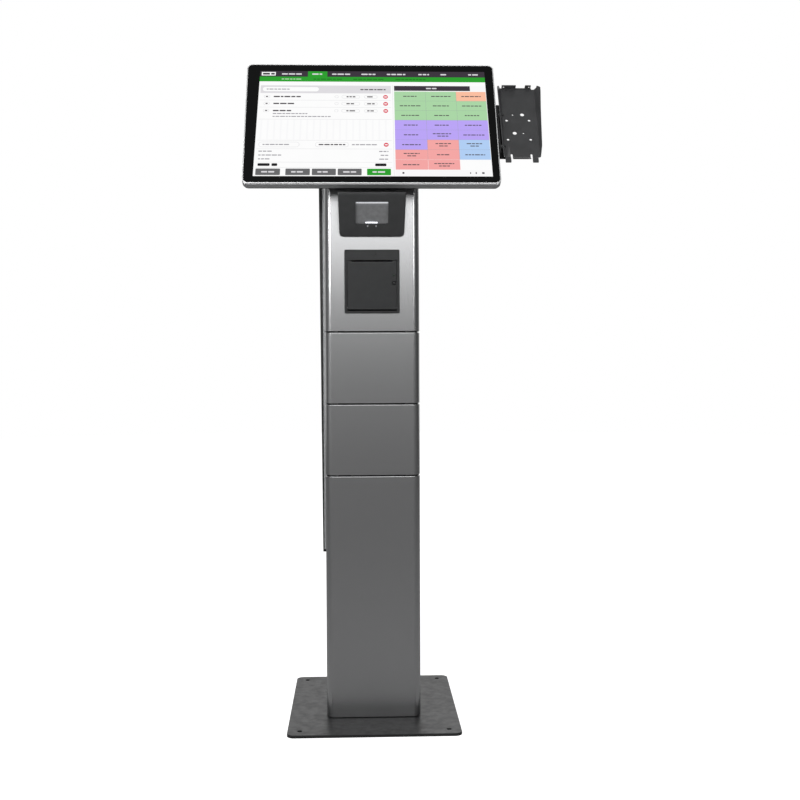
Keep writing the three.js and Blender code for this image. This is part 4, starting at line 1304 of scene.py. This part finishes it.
def make_cradle_arm():
    """A bent sheet behind the tray, and the flat backing that fixes it to the display."""
    arm_low, arm_high = extent("cradle_arm", HEAD)
    bend_x, thick, backing_x = 260, 2.5, 252
    outer = filleted([(arm_low.x, arm_low.z), (bend_x, arm_low.z), (bend_x, arm_high.z)], 5, 6)
    inner = inset(outer, thick, closed=False)
    sheet = plate([outer + inner[::-1]], -47, 74, 0.4)
    arm = solid("cradle_arm_finished", sheet, HEAD_UPWARD)
    backing = block((backing_x, arm_low.y, arm_low.z), (arm_high.x, arm_high.y, arm_low.z + thick), 0.35, 2)
    combine(arm, "UNION", solid("backing", backing, HEAD))
    combine(arm, "DIFFERENCE", *cutters(HEAD_SIDEWAYS, *arm_screw_bores(250, 266)))
    # The arm wears the darker copy of its charcoal coat, which paints in its shadow.
    finish(arm, ["charcoal_paint"], "display_head", ["cradle_arm"], own={"charcoal_paint": ARM_PAINTED_SHADE})


# ---------------------------------------------------------------- stage, light and camera


def make_stage():
    mesh = bpy.data.meshes.new("floor")
    reach, sides = 9.0, 64
    mesh.from_pydata([(a, b, 0) for a, b in circle(reach, steps=sides)], [], [tuple(range(sides))])
    floor = new_object("floor", mesh)
    surface = Surface("pale floor", (0.46, 0.46, 0.46), 0.9)
    surface.tinted(surface.noise(400, 2), 0.99, 1.01)
    surface.setting(Specular_IOR_Level=0.0, Emission_Color=(1, 1, 1, 1))
    seen = surface.nodes.new("ShaderNodeLightPath").outputs["Is Camera Ray"]
    surface.links.new(seen, surface.shader.inputs["Emission Strength"])
    mesh.materials.append(surface.material)


def make_world():
    """White behind the object, and for what it reflects a soft room, brighter on the left.

    The room also changes with depth: a dark band lies behind the object, and its far end is the brightest.
    """
    world = bpy.data.worlds.new("studio")
    world.use_nodes = True
    bpy.context.scene.world = world
    nodes, links = world.node_tree.nodes, world.node_tree.links
    seen = nodes["Background"]
    seen.inputs["Color"].default_value = (1, 1, 1, 1)
    room = nodes.new("ShaderNodeBackground")
    direction = nodes.new("ShaderNodeTexCoord").outputs["Generated"]
    split = nodes.new("ShaderNodeSeparateXYZ")
    links.new(direction, split.inputs["Vector"])
    sideways = nodes.new("ShaderNodeMapRange")
    for key, value in (("From Min", -1), ("From Max", 1), ("To Min", 1.0), ("To Max", 0.44)):
        sideways.inputs[key].default_value = value
    links.new(split.outputs["X"], sideways.inputs["Value"])
    near_to_far = nodes.new("ShaderNodeMapRange")
    near_to_far.inputs["From Min"].default_value = -1
    links.new(split.outputs["Y"], near_to_far.inputs["Value"])
    depthwise = nodes.new("ShaderNodeFloatCurve")
    curve = depthwise.mapping.curves[0]
    for place, level in ((0.0, 0.5), (0.45, 0.5), (0.6, 0.3), (0.7, 0.1), (0.84, 0.3), (0.95, 1.0)):
        curve.points.new(place, level)
    depthwise.mapping.update()
    links.new(near_to_far.outputs["Result"], depthwise.inputs["Value"])
    strength = nodes.new("ShaderNodeMath")
    strength.operation = "MULTIPLY"
    links.new(sideways.outputs["Result"], strength.inputs[0])
    links.new(depthwise.outputs["Value"], strength.inputs[1])
    links.new(strength.outputs["Value"], room.inputs["Strength"])
    blend = nodes.new("ShaderNodeMixShader")
    links.new(nodes.new("ShaderNodeLightPath").outputs["Is Camera Ray"], blend.inputs["Fac"])
    links.new(room.outputs["Background"], blend.inputs[1])
    links.new(seen.outputs["Background"], blend.inputs[2])
    links.new(blend.outputs["Shader"], nodes["World Output"].inputs["Surface"])


def add_softbox(name, place, target, width, height, brightness):
    """A flat lamp of an even brightness, facing a target."""
    data = bpy.data.lights.new(name, "AREA")
    data.shape = "RECTANGLE"
    data.size, data.size_y = width, height
    data.energy = brightness * math.pi * width * height
    lamp_object = new_object(name, data)
    lamp_object.location = place
    aim = Vector(target) - Vector(place)
    lamp_object.rotation_euler = aim.to_track_quat("-Z", "Y").to_euler()


def make_lights():
    add_softbox("front_softbox", (0.2, -3.0, 2.3), (0, 0, 1.0), 2.4, 1.2, 1.4)
    add_softbox("overhead_softbox", (0, 1.0, 3.2), (0, 0, 0.6), 2.4, 2.4, 1.2)
    add_softbox("rear_softbox", (0.6, 3.2, 2.0), (0, 0, 0.8), 2.4, 1.4, 1.0)
    add_softbox("front_panel", (0, -1.9, 1.45), (0, -0.1, 1.2), 1.6, 0.7, 1.9)
    add_softbox("left_strip", (-0.7, -0.67, 1.1), (-0.09, -0.1, 1.1), 0.44, 0.26, 10.0)
    add_softbox("right_strip", (0.66, -0.76, 1.1), (0.09, -0.1, 1.1), 0.2, 0.24, 9.0)


CAMERA = {"place": (-0.0292, -2.4524, 0.754), "pan": -2.085, "pitch": -2.153, "roll": -0.221, "lens": 51.49}


def make_camera():
    data = bpy.data.cameras.new("camera")
    data.sensor_width = 36
    data.lens = CAMERA["lens"]
    camera = new_object("camera", data)
    pan, pitch, roll = (math.radians(CAMERA[key]) for key in ("pan", "pitch", "roll"))
    turn = Matrix.Rotation(pan, 4, "Z") @ Matrix.Rotation(math.pi / 2 + pitch, 4, "X")
    camera.matrix_world = Matrix.Translation(CAMERA["place"]) @ turn @ Matrix.Rotation(roll, 4, "Z")
    bpy.context.scene.camera = camera
    bpy.context.scene.view_settings.view_transform = "Standard"


# ---------------------------------------------------------------- everything together

make_camera()
make_base()
make_panels()
make_scanner()
make_printer()
make_printer_door()
make_feed_button()
make_display_frame()
make_display_glass()
make_picture()
make_rear_cover()
make_yoke_screws()
make_cradle()
make_cradle_arm()
keep_cad_nodes()
make_stage()
make_world()
make_lights()
